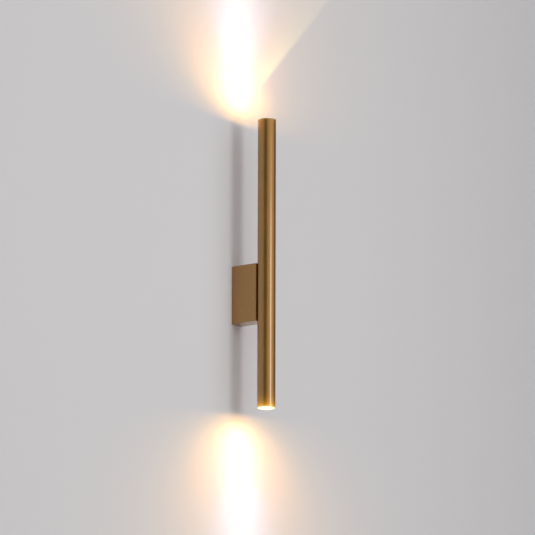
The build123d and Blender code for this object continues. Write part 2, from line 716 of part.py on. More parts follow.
# ---------------------------------------------------------------- the lamp in each end of the tube
for name, end in ends.items():
    section = half_section(end)
    axis = Axis(end.origin, end.z_dir)

    with BuildPart() as diffuser:
        with BuildSketch(section):
            with BuildLine():
                Polyline(
                    (0, diffuser_recess),
                    (module_radius, diffuser_recess),
                    (module_radius, lens_front),
                    (module_radius - diffuser_skirt_wall, lens_front),
                    (module_radius - diffuser_skirt_wall, diffuser_recess + diffuser_thickness),
                    (0, diffuser_recess + diffuser_thickness),
                    close=True,
                )
            make_face()
        revolve(axis=axis)
    diffuser.part.label = f"{name}_diffuser"
    export_step(diffuser.part, f"parts/{name}_diffuser.step")

    with BuildPart() as lens:
        with BuildSketch(section):
            with BuildLine():
                Polyline(
                    (0, lens_front),
                    (module_radius - lens_flange_inset, lens_front),
                    (module_radius - lens_flange_inset, holder_front),
                    (lens_radius, holder_front),
                    (lens_pocket_radius + lens_pocket_wall, lens_back),
                    (lens_pocket_radius, lens_back),
                    (lens_pocket_radius, lens_back - lens_pocket_radius),
                    (0, lens_back - lens_pocket_radius),
                    close=True,
                )
            make_face()
        revolve(axis=axis)
    lens.part.label = f"{name}_lens"
    export_step(lens.part, f"parts/{name}_lens.step")

    with BuildPart() as lens_holder:
        with BuildSketch(section):
            with BuildLine():
                Polyline(
                    (lens_radius + lens_clearance, holder_front),
                    (module_radius, holder_front),
                    (module_radius, board_front),
                    (holder_opening, board_front),
                    close=True,
                )
            make_face()
        revolve(axis=axis)
        # wells for the heads of the board's screws
        with BuildSketch(end.offset(board_front)):
            with Locations(*board_screw_places):
                Circle(board_screw_head / 2 + hole_fit)
        extrude(amount=-board_screw_head_height - head_clearance, mode=Mode.SUBTRACT)
    lens_holder.part.label = f"{name}_lens_holder"
    export_step(lens_holder.part, f"parts/{name}_lens_holder.step")

    with BuildPart() as led_emitter:
        with BuildSketch(end.offset(board_front)):
            Rectangle(emitter_side, emitter_side)
        extrude(amount=-emitter_base)
        with Locations(end.offset(board_front - emitter_base)):
            Sphere(
                emitter_dome_radius,
                arc_size2=0,
                align=(Align.CENTER, Align.CENTER, Align.MAX),
            )
    led_emitter.part.label = f"{name}_led_emitter"
    export_step(led_emitter.part, f"parts/{name}_led_emitter.step")

    with BuildPart() as led_board:
        with BuildSketch(end.offset(board_front)):
            Circle(board_radius)
            with Locations(*board_screw_places):
                Circle(board_screw_diameter / 2 + hole_fit, mode=Mode.SUBTRACT)
            with Locations(*lead_places):
                Circle(lead_hole_radius, mode=Mode.SUBTRACT)
        extrude(amount=board_thickness)
    led_board.part.label = f"{name}_led_board"
    export_step(led_board.part, f"parts/{name}_led_board.step")

    with BuildPart() as led_board_screws:
        for x, y in board_screw_places:
            seat = (end.offset(board_front) * Location((x, y, 0))).position
            add_screw(
                Plane(seat, x_dir=end.x_dir, z_dir=-end.z_dir),
                board_screw_head,
                board_screw_head_height,
                board_screw_diameter,
                board_screw_length,
            )
    led_board_screws.part.label = f"{name}_led_board_screws"
    export_step(led_board_screws.part, f"parts/{name}_led_board_screws.step")

    with BuildPart() as thermal_pad:
        with BuildSketch(end.offset(board_back)):
            Circle(board_radius)
            with Locations(*board_screw_places):
                Circle(board_screw_diameter / 2 + hole_fit, mode=Mode.SUBTRACT)
            with Locations(*lead_places):
                Circle(lead_hole_radius, mode=Mode.SUBTRACT)
        extrude(amount=thermal_pad_thickness)
    thermal_pad.part.label = f"{name}_thermal_pad"
    export_step(thermal_pad.part, f"parts/{name}_thermal_pad.step")

    with BuildPart() as heat_sink:
        with BuildSketch(end.offset(sink_front)):
            Circle(module_radius)
            with Locations(*lead_places):
                Circle(lead_hole_radius, mode=Mode.SUBTRACT)
        extrude(amount=sink_length)
        with BuildSketch(end.offset(sink_front)):
            with Locations(*board_screw_places):
                Circle(board_screw_diameter / 2 + thread_fit)
        extrude(amount=board_screw_length, mode=Mode.SUBTRACT)
        # grooves round the slug, with a plain land in the middle for its screw
        for number in range(grooves_each_side):
            for way in (1, -1):
                start = way * (middle_land / 2 + number * groove_pitch)
                with BuildSketch(end.offset(sink_middle + start)):
                    Circle(tube_radius)
                    Circle(module_radius - groove_depth, mode=Mode.SUBTRACT)
                extrude(amount=way * groove_width, mode=Mode.SUBTRACT)
        with Locations(sink_screw_seat(end)):
            Cylinder(
                sink_screw_diameter / 2 + thread_fit,
                sink_screw_length,
                align=(Align.CENTER, Align.CENTER, Align.MAX),
                mode=Mode.SUBTRACT,
            )
    heat_sink.part.label = f"{name}_heat_sink"
    export_step(heat_sink.part, f"parts/{name}_heat_sink.step")

    with BuildPart() as heat_sink_screw:
        seat = sink_screw_seat(end)
        with Locations(seat):
            Cone(
                sink_screw_diameter / 2,
                sink_screw_head / 2,
                (sink_screw_head - sink_screw_diameter) / 2,
                align=(Align.CENTER, Align.CENTER, Align.MAX),
            )
            Cylinder(
                sink_screw_diameter / 2,
                sink_screw_length - hole_fit,
                align=(Align.CENTER, Align.CENTER, Align.MAX),
            )
        cut_socket(seat, sink_screw_diameter / 2, sink_screw_recess + tube_wall / 2)
    heat_sink_screw.part.label = f"{name}_heat_sink_screw"
    export_step(heat_sink_screw.part, f"parts/{name}_heat_sink_screw.step")

print(f"earth lead {earth_length:.1f} mm, mains leads {mains_length:.1f} mm each")
print(f"lower lamp's supply lead {supply_length:.1f} mm")
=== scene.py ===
# %% [markdown]
# # A tube wall light
# A long round tube of satin gold aluminium stands upright in front of a wall. A slim box of the same finish
# carries it, and both of its ends shine. The imported CAD model is the frame: every piece made here goes
# where the CAD says, in metres, with the wall as the plane y = 0 and +Z up.
# We start by loading that frame, and by a helper that reads the box of a part.

import bmesh
import bpy
import numpy as np
from mathutils import Matrix, Vector


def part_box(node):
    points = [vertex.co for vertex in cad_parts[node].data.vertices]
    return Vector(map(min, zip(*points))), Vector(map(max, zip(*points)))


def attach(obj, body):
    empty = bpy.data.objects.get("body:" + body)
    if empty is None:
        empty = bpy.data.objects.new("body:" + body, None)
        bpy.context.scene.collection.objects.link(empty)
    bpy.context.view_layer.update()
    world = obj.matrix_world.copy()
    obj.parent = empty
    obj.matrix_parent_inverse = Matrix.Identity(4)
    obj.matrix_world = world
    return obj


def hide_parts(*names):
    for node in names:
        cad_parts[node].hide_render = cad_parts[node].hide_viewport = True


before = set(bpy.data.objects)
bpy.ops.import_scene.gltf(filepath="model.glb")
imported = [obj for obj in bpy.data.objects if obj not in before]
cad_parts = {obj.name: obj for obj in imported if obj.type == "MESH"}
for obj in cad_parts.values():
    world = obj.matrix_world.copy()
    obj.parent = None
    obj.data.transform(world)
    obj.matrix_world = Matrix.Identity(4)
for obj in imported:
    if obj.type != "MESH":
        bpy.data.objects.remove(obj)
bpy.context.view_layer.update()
MM = 0.001

# %% [markdown]
# ## The camera
# The photograph looks up at the light from the left, from far away through a long lens: the tube's sides
# run almost parallel, and its lower end shows as a thin ellipse. We write down the direction in which the
# camera looks, how far away it is and how many pixels a metre covers, and place it from those.

# %% The camera
IMAGE_SIDE = 535
SENSOR = 36.0
LOOK_AZIMUTH, LOOK_RISE, LOOK_ROLL = np.radians([54.72, 12.62, 0.15])
CAMERA_DISTANCE = 10.0
PIXELS_PER_METRE = 589.0
AIM = (52.25 * MM, 49.6 * MM)  # the point in the picture's middle: to the right of the origin, and above it
NEAREST, FARTHEST = 0.1, 60.0

look = Vector(
    (
        np.sin(LOOK_AZIMUTH) * np.cos(LOOK_RISE),
        np.cos(LOOK_AZIMUTH) * np.cos(LOOK_RISE),
        np.sin(LOOK_RISE),
    )
)
level_right = Vector((np.cos(LOOK_AZIMUTH), -np.sin(LOOK_AZIMUTH), 0))
level_up = level_right.cross(look)
right = level_right * np.cos(LOOK_ROLL) + level_up * np.sin(LOOK_ROLL)
up = right.cross(look)

camera = bpy.data.objects.new("camera", bpy.data.cameras.new("camera"))
bpy.context.collection.objects.link(camera)
camera.data.sensor_width = SENSOR
camera.data.lens = PIXELS_PER_METRE * CAMERA_DISTANCE * SENSOR / IMAGE_SIDE
camera.data.clip_start, camera.data.clip_end = NEAREST, FARTHEST
turn = Matrix((right, up, -look)).transposed().to_4x4()
camera.matrix_world = Matrix.Translation(AIM[0] * right + AIM[1] * up - CAMERA_DISTANCE * look) @ turn
bpy.context.scene.camera = camera
print("camera at", [round(v, 2) for v in camera.location], "with a lens of", round(camera.data.lens), "mm")

# %% [markdown]
# ## Helpers for shapes
# Each new piece is a set of grids of points. A grid is a function of two parameters, worked out as one
# whole array. Neighbouring grids share their border points, so that merging doubles closes the surface.

# %% From grids of points to a mesh
SHARP_ANGLE = np.radians(32)
SAME_POINT = 0.002 * MM


def grid_faces(rows, columns, start):
    """Four-sided faces between the neighbours of a grid of points, numbered row by row from start."""
    first = start + np.arange(rows - 1)[:, None] * columns + np.arange(columns - 1)[None, :]
    return np.stack([first, first + 1, first + columns + 1, first + columns], axis=-1).reshape(-1, 4)


def make_piece(name, grids, replaced):
    """Mesh from grids of points, merged, with smooth shading that breaks at sharp edges."""
    starts = np.cumsum([0] + [grid.shape[0] * grid.shape[1] for grid in grids[:-1]])
    points = np.concatenate([grid.reshape(-1, 3) for grid in grids])
    faces = np.concatenate([grid_faces(g.shape[0], g.shape[1], s) for g, s in zip(grids, starts)])
    mesh = bpy.data.meshes.new(name)
    mesh.from_pydata(points.tolist(), [], faces.tolist())
    shape = bmesh.new()
    shape.from_mesh(mesh)
    bmesh.ops.remove_doubles(shape, verts=shape.verts, dist=SAME_POINT)
    bmesh.ops.recalc_face_normals(shape, faces=shape.faces)
    shape.to_mesh(mesh)
    open_edges = sum(edge.is_boundary for edge in shape.edges)
    shape.free()
    mesh.shade_smooth()
    mesh.set_sharp_from_angle(angle=SHARP_ANGLE)
    piece = bpy.data.objects.new(name, mesh)
    bpy.context.collection.objects.link(piece)
    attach(piece, "root")
    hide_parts(replaced)
    print(name, "has", len(mesh.polygons), "faces and", open_edges, "open edges")
    return piece


print("a grid of 3 by 4 points has", len(grid_faces(3, 4, 0)), "faces")

# %% [markdown]
# ## The tube
# The real tube is an aluminium extrusion, cut to length, with its rims broken so that they don't cut a
# finger. A lathe profile would give the round shape, but the rear of the tube also has holes: two
# countersunk ones for the screws of the heat sinks, and three that the box hides.
# So we build its wall in bands. A plain band is one grid of angle by height. A band with a hole has a
# patch that runs from the hole's circle to the patch's square border, and one grid for the rest.

# %% Sizes of the tube, from the CAD
tube_low, tube_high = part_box("tube")
TUBE_RADIUS = (tube_high[0] - tube_low[0]) / 2
TUBE_WALL = 1.2 * MM
BORE_RADIUS = TUBE_RADIUS - TUBE_WALL
AXIS_DEPTH = (tube_low[1] + tube_high[1]) / 2
BOTTOM, TOP = tube_low[2], tube_high[2]
RIM_ROUND = 0.3 * MM
print("tube radius", round(TUBE_RADIUS / MM, 2), "mm, axis at y =", round(AXIS_DEPTH / MM, 2), "mm")

# %% [markdown]
# The five holes sit one above the other in the rear. The heat sinks' screws are countersunk in the outer
# two. The leads pass through the middle one, and the clamping screws through the two beside it.

# %% Holes in the tube's rear
SINK_HOLE_INSET = 41.4 * MM  # from each end of the tube
CLAMP_HOLE_RISE = 42.0 * MM  # above and below the origin
SINK_HOLE = (2.4 * MM, 1.4 * MM)  # radius outside, where it is countersunk, and radius inside
CLAMP_HOLE = (2.1 * MM, 2.1 * MM)
LEAD_HOLE = (5.1 * MM, 5.1 * MM)
HOLE_STEP = 0.2 * MM  # how far a hole goes straight in before it narrows
HOLES = [
    (BOTTOM + SINK_HOLE_INSET, *SINK_HOLE),
    (-CLAMP_HOLE_RISE, *CLAMP_HOLE),
    (0.0, *LEAD_HOLE),
    (CLAMP_HOLE_RISE, *CLAMP_HOLE),
    (TOP - SINK_HOLE_INSET, *SINK_HOLE),
]
print("holes at", [round(hole[0] / MM, 1) for hole in HOLES], "mm")

# %% [markdown]
# The bands share their columns, so that neighbours meet point to point. The rings of a patch lie closer
# together near the hole, whose edge has to look sharp.

# %% How finely the tube's wall is divided
AROUND = 192  # columns round the whole tube
PATCH_COLUMNS = 32
PATCH_ROWS = 8
PATCH_RINGS = 6
RING_CROWDING = 1.3  # the power that draws the rings towards the hole
PATCH_HALF_HEIGHT = 8.0 * MM
PATCH_HALF_ANGLE = np.pi * PATCH_COLUMNS / AROUND
RIM_POINTS = 6  # along each quarter circle of the rim
print("a column of the tube's wall is", round(2 * np.pi * TUBE_RADIUS / AROUND / MM, 2), "mm wide")

# %% [markdown]
# Now the wall itself. Every point of it is an angle round the axis, counted from the rear, and a height. A
# hole that is bored straight in isn't round on such a curved wall, so its circle is worked out flat first,
# and then laid on the wall.

# %% The tube's wall


def on_tube(radius, angle, height):
    """Points on the tube, by the angle from its rear and by height: (r sin a, axis + r cos a, z)."""
    angle, height = np.broadcast_arrays(angle, height)
    return np.stack([radius * np.sin(angle), AXIS_DEPTH + radius * np.cos(angle), height], axis=-1)


def patch_border():
    """Angles and heights once round the patch's square border, each side divided evenly."""
    across = np.linspace(-1, 1, PATCH_COLUMNS + 1)[:-1]
    along = np.linspace(-1, 1, PATCH_ROWS + 1)[:-1]
    angle = np.concatenate([across, np.ones_like(along), -across, -np.ones_like(along), [-1]])
    height = np.concatenate([-np.ones_like(across), along, np.ones_like(across), -along, [-1]])
    return angle * PATCH_HALF_ANGLE, height * PATCH_HALF_HEIGHT


def hole_circle(radius, hole, middle):
    """Angles and heights of a round hole bored along y: sin(a) = x / r, on the rays to the patch's border."""
    angle, height = patch_border()
    way = np.arctan2(height, angle * radius)
    return np.arcsin(hole * np.cos(way) / radius), middle + hole * np.sin(way)


def wall_with_holes(radius, side):
    """Grids of the tube's outer or inner face, in bands from the bottom to the top."""
    whole = np.linspace(PATCH_HALF_ANGLE, PATCH_HALF_ANGLE + 2 * np.pi, AROUND + 1)
    rest = np.linspace(PATCH_HALF_ANGLE, 2 * np.pi - PATCH_HALF_ANGLE, AROUND - PATCH_COLUMNS + 1)
    rings = np.linspace(0, 1, PATCH_RINGS + 1)[:, None] ** RING_CROWDING
    border_angle, border_height = patch_border()
    grids, below = [], BOTTOM + RIM_ROUND
    for hole in HOLES:
        middle, low, high = hole[0], hole[0] - PATCH_HALF_HEIGHT, hole[0] + PATCH_HALF_HEIGHT
        grids.append(on_tube(radius, whole[None, :], np.array([[below], [low]])))
        grids.append(on_tube(radius, rest[None, :], np.linspace(low, high, PATCH_ROWS + 1)[:, None]))
        circle_angle, circle_height = hole_circle(radius, hole[side], middle)
        angle = circle_angle + rings * (border_angle - circle_angle)
        height = circle_height + rings * (middle + border_height - circle_height)
        grids.append(on_tube(radius, angle, height))
        below = high
    grids.append(on_tube(radius, whole[None, :], np.array([[below], [TOP - RIM_ROUND]])))
    return grids


def hole_wall(hole):
    """Grid down a hole: the outer circle, the step's foot, and the inner circle, all on the same rays."""
    height, outside, inside = hole
    top = on_tube(TUBE_RADIUS, *hole_circle(TUBE_RADIUS, outside, height))
    foot = top - [0, HOLE_STEP, 0]
    end = on_tube(BORE_RADIUS, *hole_circle(BORE_RADIUS, inside, height))
    return np.stack([top, foot, end])


def rim(end, inwards):
    """Rounded rim at one end: two quarter circles of the rim's radius, with the flat lip between them."""
    turn = np.linspace(0, np.pi / 2, RIM_POINTS)
    outer = TUBE_RADIUS - RIM_ROUND * (1 - np.cos(turn)), RIM_ROUND * (1 - np.sin(turn))
    inner = BORE_RADIUS + RIM_ROUND * (1 - np.sin(turn)), RIM_ROUND * (1 - np.cos(turn))
    radii = np.concatenate([outer[0], inner[0]])
    depth = np.concatenate([outer[1], inner[1]])
    whole = np.linspace(PATCH_HALF_ANGLE, PATCH_HALF_ANGLE + 2 * np.pi, AROUND + 1)
    return on_tube(radii[:, None], whole[None, :], (end + inwards * depth)[:, None])


tube_grids = wall_with_holes(TUBE_RADIUS, 1) + wall_with_holes(BORE_RADIUS, 2)
tube_grids += [hole_wall(hole) for hole in HOLES] + [rim(BOTTOM, 1), rim(TOP, -1)]
tube = make_piece("tube_shell", tube_grids, "tube")

# %% [markdown]
# ## The lit discs
# Each end is closed by a disc of opal acrylic, turned with a skirt that sits on the lens inside. Only its
# face shows, a hair's breadth inside the rim. It is a lathe shape: a profile of radius against depth,
# carried once round the tube's axis, with a tiny round where face and skirt meet.

# %% The lit discs
DISC_RADIUS = BORE_RADIUS - 0.1 * MM
DISC_RECESS = 0.3 * MM
DISC_THICK = 2.0 * MM
SKIRT = 7.0 * MM
SKIRT_WALL = 1.0 * MM
DISC_ROUND = 0.35 * MM
FACE_POINTS, EDGE_POINTS, DISC_COLUMNS = 12, 5, 96


def lit_disc(name, end, inwards):
    """Profile of face, rounded edge, skirt and inside, turned round the axis as the tube's points are."""
    turn = np.linspace(0, np.pi / 2, EDGE_POINTS)
    edge = DISC_RADIUS - DISC_ROUND * (1 - np.sin(turn)), DISC_ROUND * (1 - np.cos(turn))
    face = np.linspace(0, DISC_RADIUS - DISC_ROUND, FACE_POINTS)[:-1]
    inner = DISC_RADIUS - SKIRT_WALL
    radii = np.concatenate([face, edge[0], [DISC_RADIUS, inner, inner, 0]])
    depth = np.concatenate([np.zeros_like(face), edge[1], [SKIRT, SKIRT, DISC_THICK, DISC_THICK]])
    around = np.linspace(0, 2 * np.pi, DISC_COLUMNS + 1)
    heights = end + inwards * (DISC_RECESS + depth)
    grid = on_tube(radii[:, None], around[None, :], heights[:, None])
    return make_piece(name, [grid], name.replace("_lit_disc", "_diffuser"))


upper_disc = lit_disc("upper_lit_disc", TOP, -1)
lower_disc = lit_disc("lower_lit_disc", BOTTOM, 1)

# %% [markdown]
# ## Helpers for materials
# A material is a small tree of nodes. One helper adds a node, sets its values and links its inputs. Colours
# are written as the eye sees them, in sRGB, and turned to the linear numbers that light works with. Every
# pattern reads Object coordinates, in metres, so a pattern's scale is one over its real size.

# %% Colours and nodes


def colour(code):
    """sRGB hex to linear: c / 12.92 below 0.04045, and ((c + 0.055) / 1.055) ** 2.4 above it."""
    part = np.array([int(code[i : i + 2], 16) for i in (1, 3, 5)]) / 255
    return (*np.where(part <= 0.04045, part / 12.92, ((part + 0.055) / 1.055) ** 2.4), 1.0)


def add(tree, kind, values=(), stops=(), **settings):
    """Adds a node: settings are its properties, values go to its inputs, stops are a ramp's colours."""
    node = tree.nodes.new(kind)
    for key, value in settings.items():
        setattr(node, key, value)
    for key, value in dict(values).items():
        if isinstance(value, bpy.types.NodeSocket):
            tree.links.new(value, node.inputs[key])
        else:
            node.inputs[key].default_value = value
    for index, (position, code) in enumerate(stops):
        stop = node.color_ramp.elements[index] if index < 2 else node.color_ramp.elements.new(position)
        stop.position, stop.color = position, colour(code)
    return node


def new_material(name):
    """Empty material, its node tree and the Object coordinates that its patterns read."""
    material = bpy.data.materials.new(name)
    material.use_nodes = True
    material.node_tree.nodes.clear()
    return material, material.node_tree, add(material.node_tree, "ShaderNodeTexCoord").outputs["Object"]


def dress(material, *nodes):
    """Gives a material to CAD nodes, in the slots that they have."""
    for node in nodes:
        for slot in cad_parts[node].material_slots:
            slot.material = material
    print(material.name, "on", ", ".join(nodes))


def middle(node):
    """Middle of a CAD node's box."""
    low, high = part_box(node)
    return tuple((low[i] + high[i]) / 2 for i in range(3))


print("the middle grey #808080 is", round(float(colour("#808080")[0]), 3), "in linear light")

# %% [markdown]
# ## Painted glow on the rims
# Both ends shine so strongly that the last few millimetres of metal look as if they glow with them, far more
# at the lower end, whose disc faces the camera. That glow is painted: emission in the metal stands for the
# stray light. It fades away from each rim as light in a haze does, and turns from a pale yellow at the rim
# itself to amber.

# %% Painted glow on the rims
# Painted glow: emission in the metal near each rim, standing for the stray light round the lit discs.
PAINTED_GLOW_REACH = 7.3 * MM  # how far from the rim the stray light falls to a third
PAINTED_GLOW_STRENGTHS = [(BOTTOM, 1, 0.78), (TOP, -1, 0.08)]  # rim, way inwards and strength there
PAINTED_GLOW_TONES = [(0.58, "#FFAE10"), (0.71, "#FFC63A"), (0.87, "#FFDA79"), (1.0, "#FFEDB3")]  # 1 is at a rim


def painted_rim_glow(tree, place):
    """Colour and strength of the painted glow, from exp(-d / reach), where d is the way from a rim."""
    height = add(tree, "ShaderNodeSeparateXYZ", {0: place}).outputs["Z"]
    fades, painted_glows = [], []
    for end, inwards, strength in PAINTED_GLOW_STRENGTHS:
        slope = -inwards / PAINTED_GLOW_REACH
        depth = add(tree, "ShaderNodeMath", {0: height, 1: slope, 2: -slope * end}, operation="MULTIPLY_ADD")
        fade = add(tree, "ShaderNodeMath", {0: depth.outputs[0]}, operation="EXPONENT").outputs[0]
        fades.append(fade)
        painted_glows.append(add(tree, "ShaderNodeMath", {0: fade, 1: strength}, operation="MULTIPLY").outputs[0])
    nearness = add(tree, "ShaderNodeMath", {0: fades[0], 1: fades[1]}, operation="ADD")
    glow = add(tree, "ShaderNodeValToRGB", {"Fac": nearness.outputs[0]}, PAINTED_GLOW_TONES)
    total = add(tree, "ShaderNodeMath", {0: painted_glows[0], 1: painted_glows[1]}, operation="ADD")
    return glow.outputs[0], total.outputs[0]


print("stray light is down to a hundredth", round(PAINTED_GLOW_REACH * np.log(100) / MM), "mm from a rim")

# %% [markdown]
# ## Satin gold aluminium
# The tube and the box are aluminium, blasted to a fine even grain and then anodised gold under a satin
# clear coat. That gives three things to the eye: soft, wide highlights from the metal, a narrower white
# gloss from the coat on top of them, and a grain of about a tenth of a millimetre. A grain that fine is
# smaller than a pixel, so a speckle of half a millimetre is drawn with it, and cloudy changes of tone, a
# few centimetres wide, keep the long tube from looking like plastic.

# %% Satin gold
GRAIN = 0.12 * MM
SPECKLE = 0.5 * MM
CLOUD = 30 * MM
STREAK_SQUEEZE = 0.02  # streaks are fifty times as long as they are wide


def satin_gold():
    """Metal under a clear coat: speckle, drawn streaks and clouds in its tone, and a painted glow at the
    rims.
    """
    material, tree, place = new_material("satin_gold_anodised_aluminium")
    grain = add(tree, "ShaderNodeTexNoise", {"Vector": place, "Scale": 1 / GRAIN, "Detail": 2.0})
    speckle = add(tree, "ShaderNodeTexNoise", {"Vector": place, "Scale": 1 / SPECKLE, "Detail": 3.0})
    cloud = add(tree, "ShaderNodeTexNoise", {"Vector": place, "Scale": 1 / CLOUD, "Detail": 4.0})
    drawn = add(tree, "ShaderNodeMapping", {"Vector": place, "Scale": (1, 1, STREAK_SQUEEZE)})
    streak = add(tree, "ShaderNodeTexNoise",
                 {"Vector": drawn.outputs[0], "Scale": 1 / SPECKLE, "Detail": 2.0})
    tone = add(tree, "ShaderNodeMath", {0: speckle.outputs["Fac"], 1: 0.5, 2: streak.outputs["Fac"]},
               operation="MULTIPLY_ADD")
    gold = add(tree, "ShaderNodeValToRGB", {"Fac": tone.outputs[0]}, [(0.45, "#A5762A"), (1.0, "#B58434")])
    shade = add(tree, "ShaderNodeValToRGB", {"Fac": cloud.outputs["Fac"]},
                [(0.3, "#F2F2F2"), (0.7, "#FFFFFF")])
    base = add(tree, "ShaderNodeMix", {"Factor": 1.0, "A": gold.outputs[0], "B": shade.outputs[0]},
               data_type="RGBA", blend_type="MULTIPLY")
    rough = add(tree, "ShaderNodeMapRange", {
        "Value": cloud.outputs["Fac"], "From Min": 0.3, "From Max": 0.7, "To Min": 0.46, "To Max": 0.52,
    })
    bump = add(tree, "ShaderNodeBump",
               {"Height": grain.outputs["Fac"], "Strength": 0.25, "Distance": 0.02 * MM})
    # The emission is a painted glow near the rims, not light that reaches the metal.
    glow, strength = painted_rim_glow(tree, place)
    shader = add(tree, "ShaderNodeBsdfPrincipled", {
        "Base Color": base.outputs["Result"],
        "Metallic": 1.0,
        "Roughness": rough.outputs[0],
        "Coat Weight": 1.0,
        "Coat Roughness": 0.15,
        "Coat IOR": 1.72,
        "Normal": bump.outputs[0],
        "Emission Color": glow,
        "Emission Strength": strength,
    })
    add(tree, "ShaderNodeOutputMaterial", {"Surface": shader.outputs[0]})
    return material


anodised = satin_gold()
tube.data.materials.append(anodised)
dress(anodised, "wall_box")

# %% [markdown]
# ## Opal acrylic, lit
# The disc is cast acrylic with a white filler, lit from behind through a lens. It is white hot over the
# lens and turns golden towards its edge, where less light gets through.

# %% Opal acrylic
MOTTLE = 1.5 * MM


def from_axis(tree, place):
    """Distance from the tube's axis: the length of (x, y - axis, 0)."""
    flat = {"Vector": place, "Location": (0, -AXIS_DEPTH, 0), "Scale": (1, 1, 0)}
    centred = add(tree, "ShaderNodeMapping", flat)
    return add(tree, "ShaderNodeVectorMath", {0: centred.outputs[0]}, operation="LENGTH").outputs["Value"]


def opal_acrylic():
    """Warm light whose colour turns golden from the disc's middle to its edge, under a satin skin."""
    material, tree, place = new_material("opal_acrylic_lit")
    reach = add(tree, "ShaderNodeMath", {0: from_axis(tree, place), 1: DISC_RADIUS}, operation="DIVIDE")
    light = add(tree, "ShaderNodeValToRGB", {"Fac": reach.outputs[0]},
                [(0.55, "#FFFBEE"), (0.9, "#FFE9B8"), (1.0, "#FFD27A")])
    mottle = add(tree, "ShaderNodeTexNoise", {"Vector": place, "Scale": 1 / MOTTLE, "Detail": 2.0})
    strength = add(tree, "ShaderNodeMapRange",
                   {"Value": mottle.outputs["Fac"], "To Min": 1.15, "To Max": 1.35})
    shader = add(tree, "ShaderNodeBsdfPrincipled", {
        "Base Color": colour("#F4EFE4"),
        "Roughness": 0.45,
        "Emission Color": light.outputs[0],
        "Emission Strength": strength.outputs[0],
    })
    add(tree, "ShaderNodeOutputMaterial", {"Surface": shader.outputs[0]})
    return material


opal = opal_acrylic()
upper_disc.data.materials.append(opal)
lower_disc.data.materials.append(opal)
print(opal.name, "on", upper_disc.name, "and", lower_disc.name)

# %% [markdown]
# ## Zinc-plated steel
# The bracket, the screws, the washers, the lug and the nut bar are steel, pressed or turned and then zinc
# plated. Zinc is a cold, slightly blue metal. Its crystals show as patches one or two millimetres wide, the
# rolled sheet leaves fine lines along its length, and the passivation that stops white rust adds a faint
# yellow bloom. Voronoi cells give the crystals, and a noise stretched along z gives the rolling lines.

# %% Zinc-plated steel
CRYSTAL = 1.4 * MM
ROLLING = 0.2 * MM
ROLLING_SQUEEZE = 0.04  # the lines are 25 times as long as they are wide
BLOOM = 9 * MM


def zinc_plated_steel():
    """Metal: crystal cells and rolling lines change its roughness and bump, the bloom changes its tint."""
    material, tree, place = new_material("zinc_plated_steel")
    crystal = add(tree, "ShaderNodeTexVoronoi", {"Vector": place, "Scale": 1 / CRYSTAL})
    bloom = add(tree, "ShaderNodeTexNoise", {"Vector": place, "Scale": 1 / BLOOM, "Detail": 3.0})
    rolled = add(tree, "ShaderNodeMapping", {"Vector": place, "Scale": (1, 1, ROLLING_SQUEEZE)})
    line = add(tree, "ShaderNodeTexNoise", {"Vector": rolled.outputs[0], "Scale": 1 / ROLLING, "Detail": 2.0})
    tint = add(tree, "ShaderNodeValToRGB", {"Fac": bloom.outputs["Fac"]},
               [(0.35, "#B4BAC1"), (0.55, "#C3C7CB"), (0.75, "#CBC8B6")])
    facet = add(tree, "ShaderNodeValToRGB", {"Fac": crystal.outputs["Color"]},
                [(0.2, "#E2E2E4"), (0.8, "#FFFFFF")])
    base = add(tree, "ShaderNodeMix", {"Factor": 1.0, "A": tint.outputs[0], "B": facet.outputs[0]},
               data_type="RGBA", blend_type="MULTIPLY")
    mixed = add(tree, "ShaderNodeMath", {0: crystal.outputs["Distance"], 1: 0.5, 2: line.outputs["Fac"]},
                operation="MULTIPLY_ADD")
    rough = add(tree, "ShaderNodeMapRange", {
        "Value": mixed.outputs[0], "From Min": 0.3, "From Max": 1.0, "To Min": 0.3, "To Max": 0.44,
    })
    bump = add(tree, "ShaderNodeBump",
               {"Height": line.outputs["Fac"], "Strength": 0.3, "Distance": 0.02 * MM})
    shader = add(tree, "ShaderNodeBsdfPrincipled", {
        "Base Color": base.outputs["Result"],
        "Metallic": 1.0,
        "Roughness": rough.outputs[0],
        "Normal": bump.outputs[0],
    })
    add(tree, "ShaderNodeOutputMaterial", {"Surface": shader.outputs[0]})
    return material


dress(zinc_plated_steel(), "wall_bracket", "box_fixing_screws", "earth_screw", "terminal_screws",
      "tube_screws", "tube_screw_washers", "tube_nut_bar", "earth_lug", "upper_led_board_screws",
      "lower_led_board_screws")

# %% [markdown]
# ## Turned metals
# Brass clamps, aluminium heat sinks and the two lacquered screws in the tube's rear come off a lathe. The
# tool leaves a fine spiral: lines across the side of the piece, and rings on its ends. Both are the same
# groove, so one function draws them: a band wave along the turning axis for the side, and a ring wave round
# that axis for the ends. On each face one of the two stands still, and the other one shows.
# A real feed is about 0.1 mm, too fine to see here, so the pitch is drawn two to three times coarser.

# %% Turned metals
WAVE_PERIOD = 2 * np.pi / 20  # the wave textures repeat after this length at a scale of 1
STAIN = 4 * MM


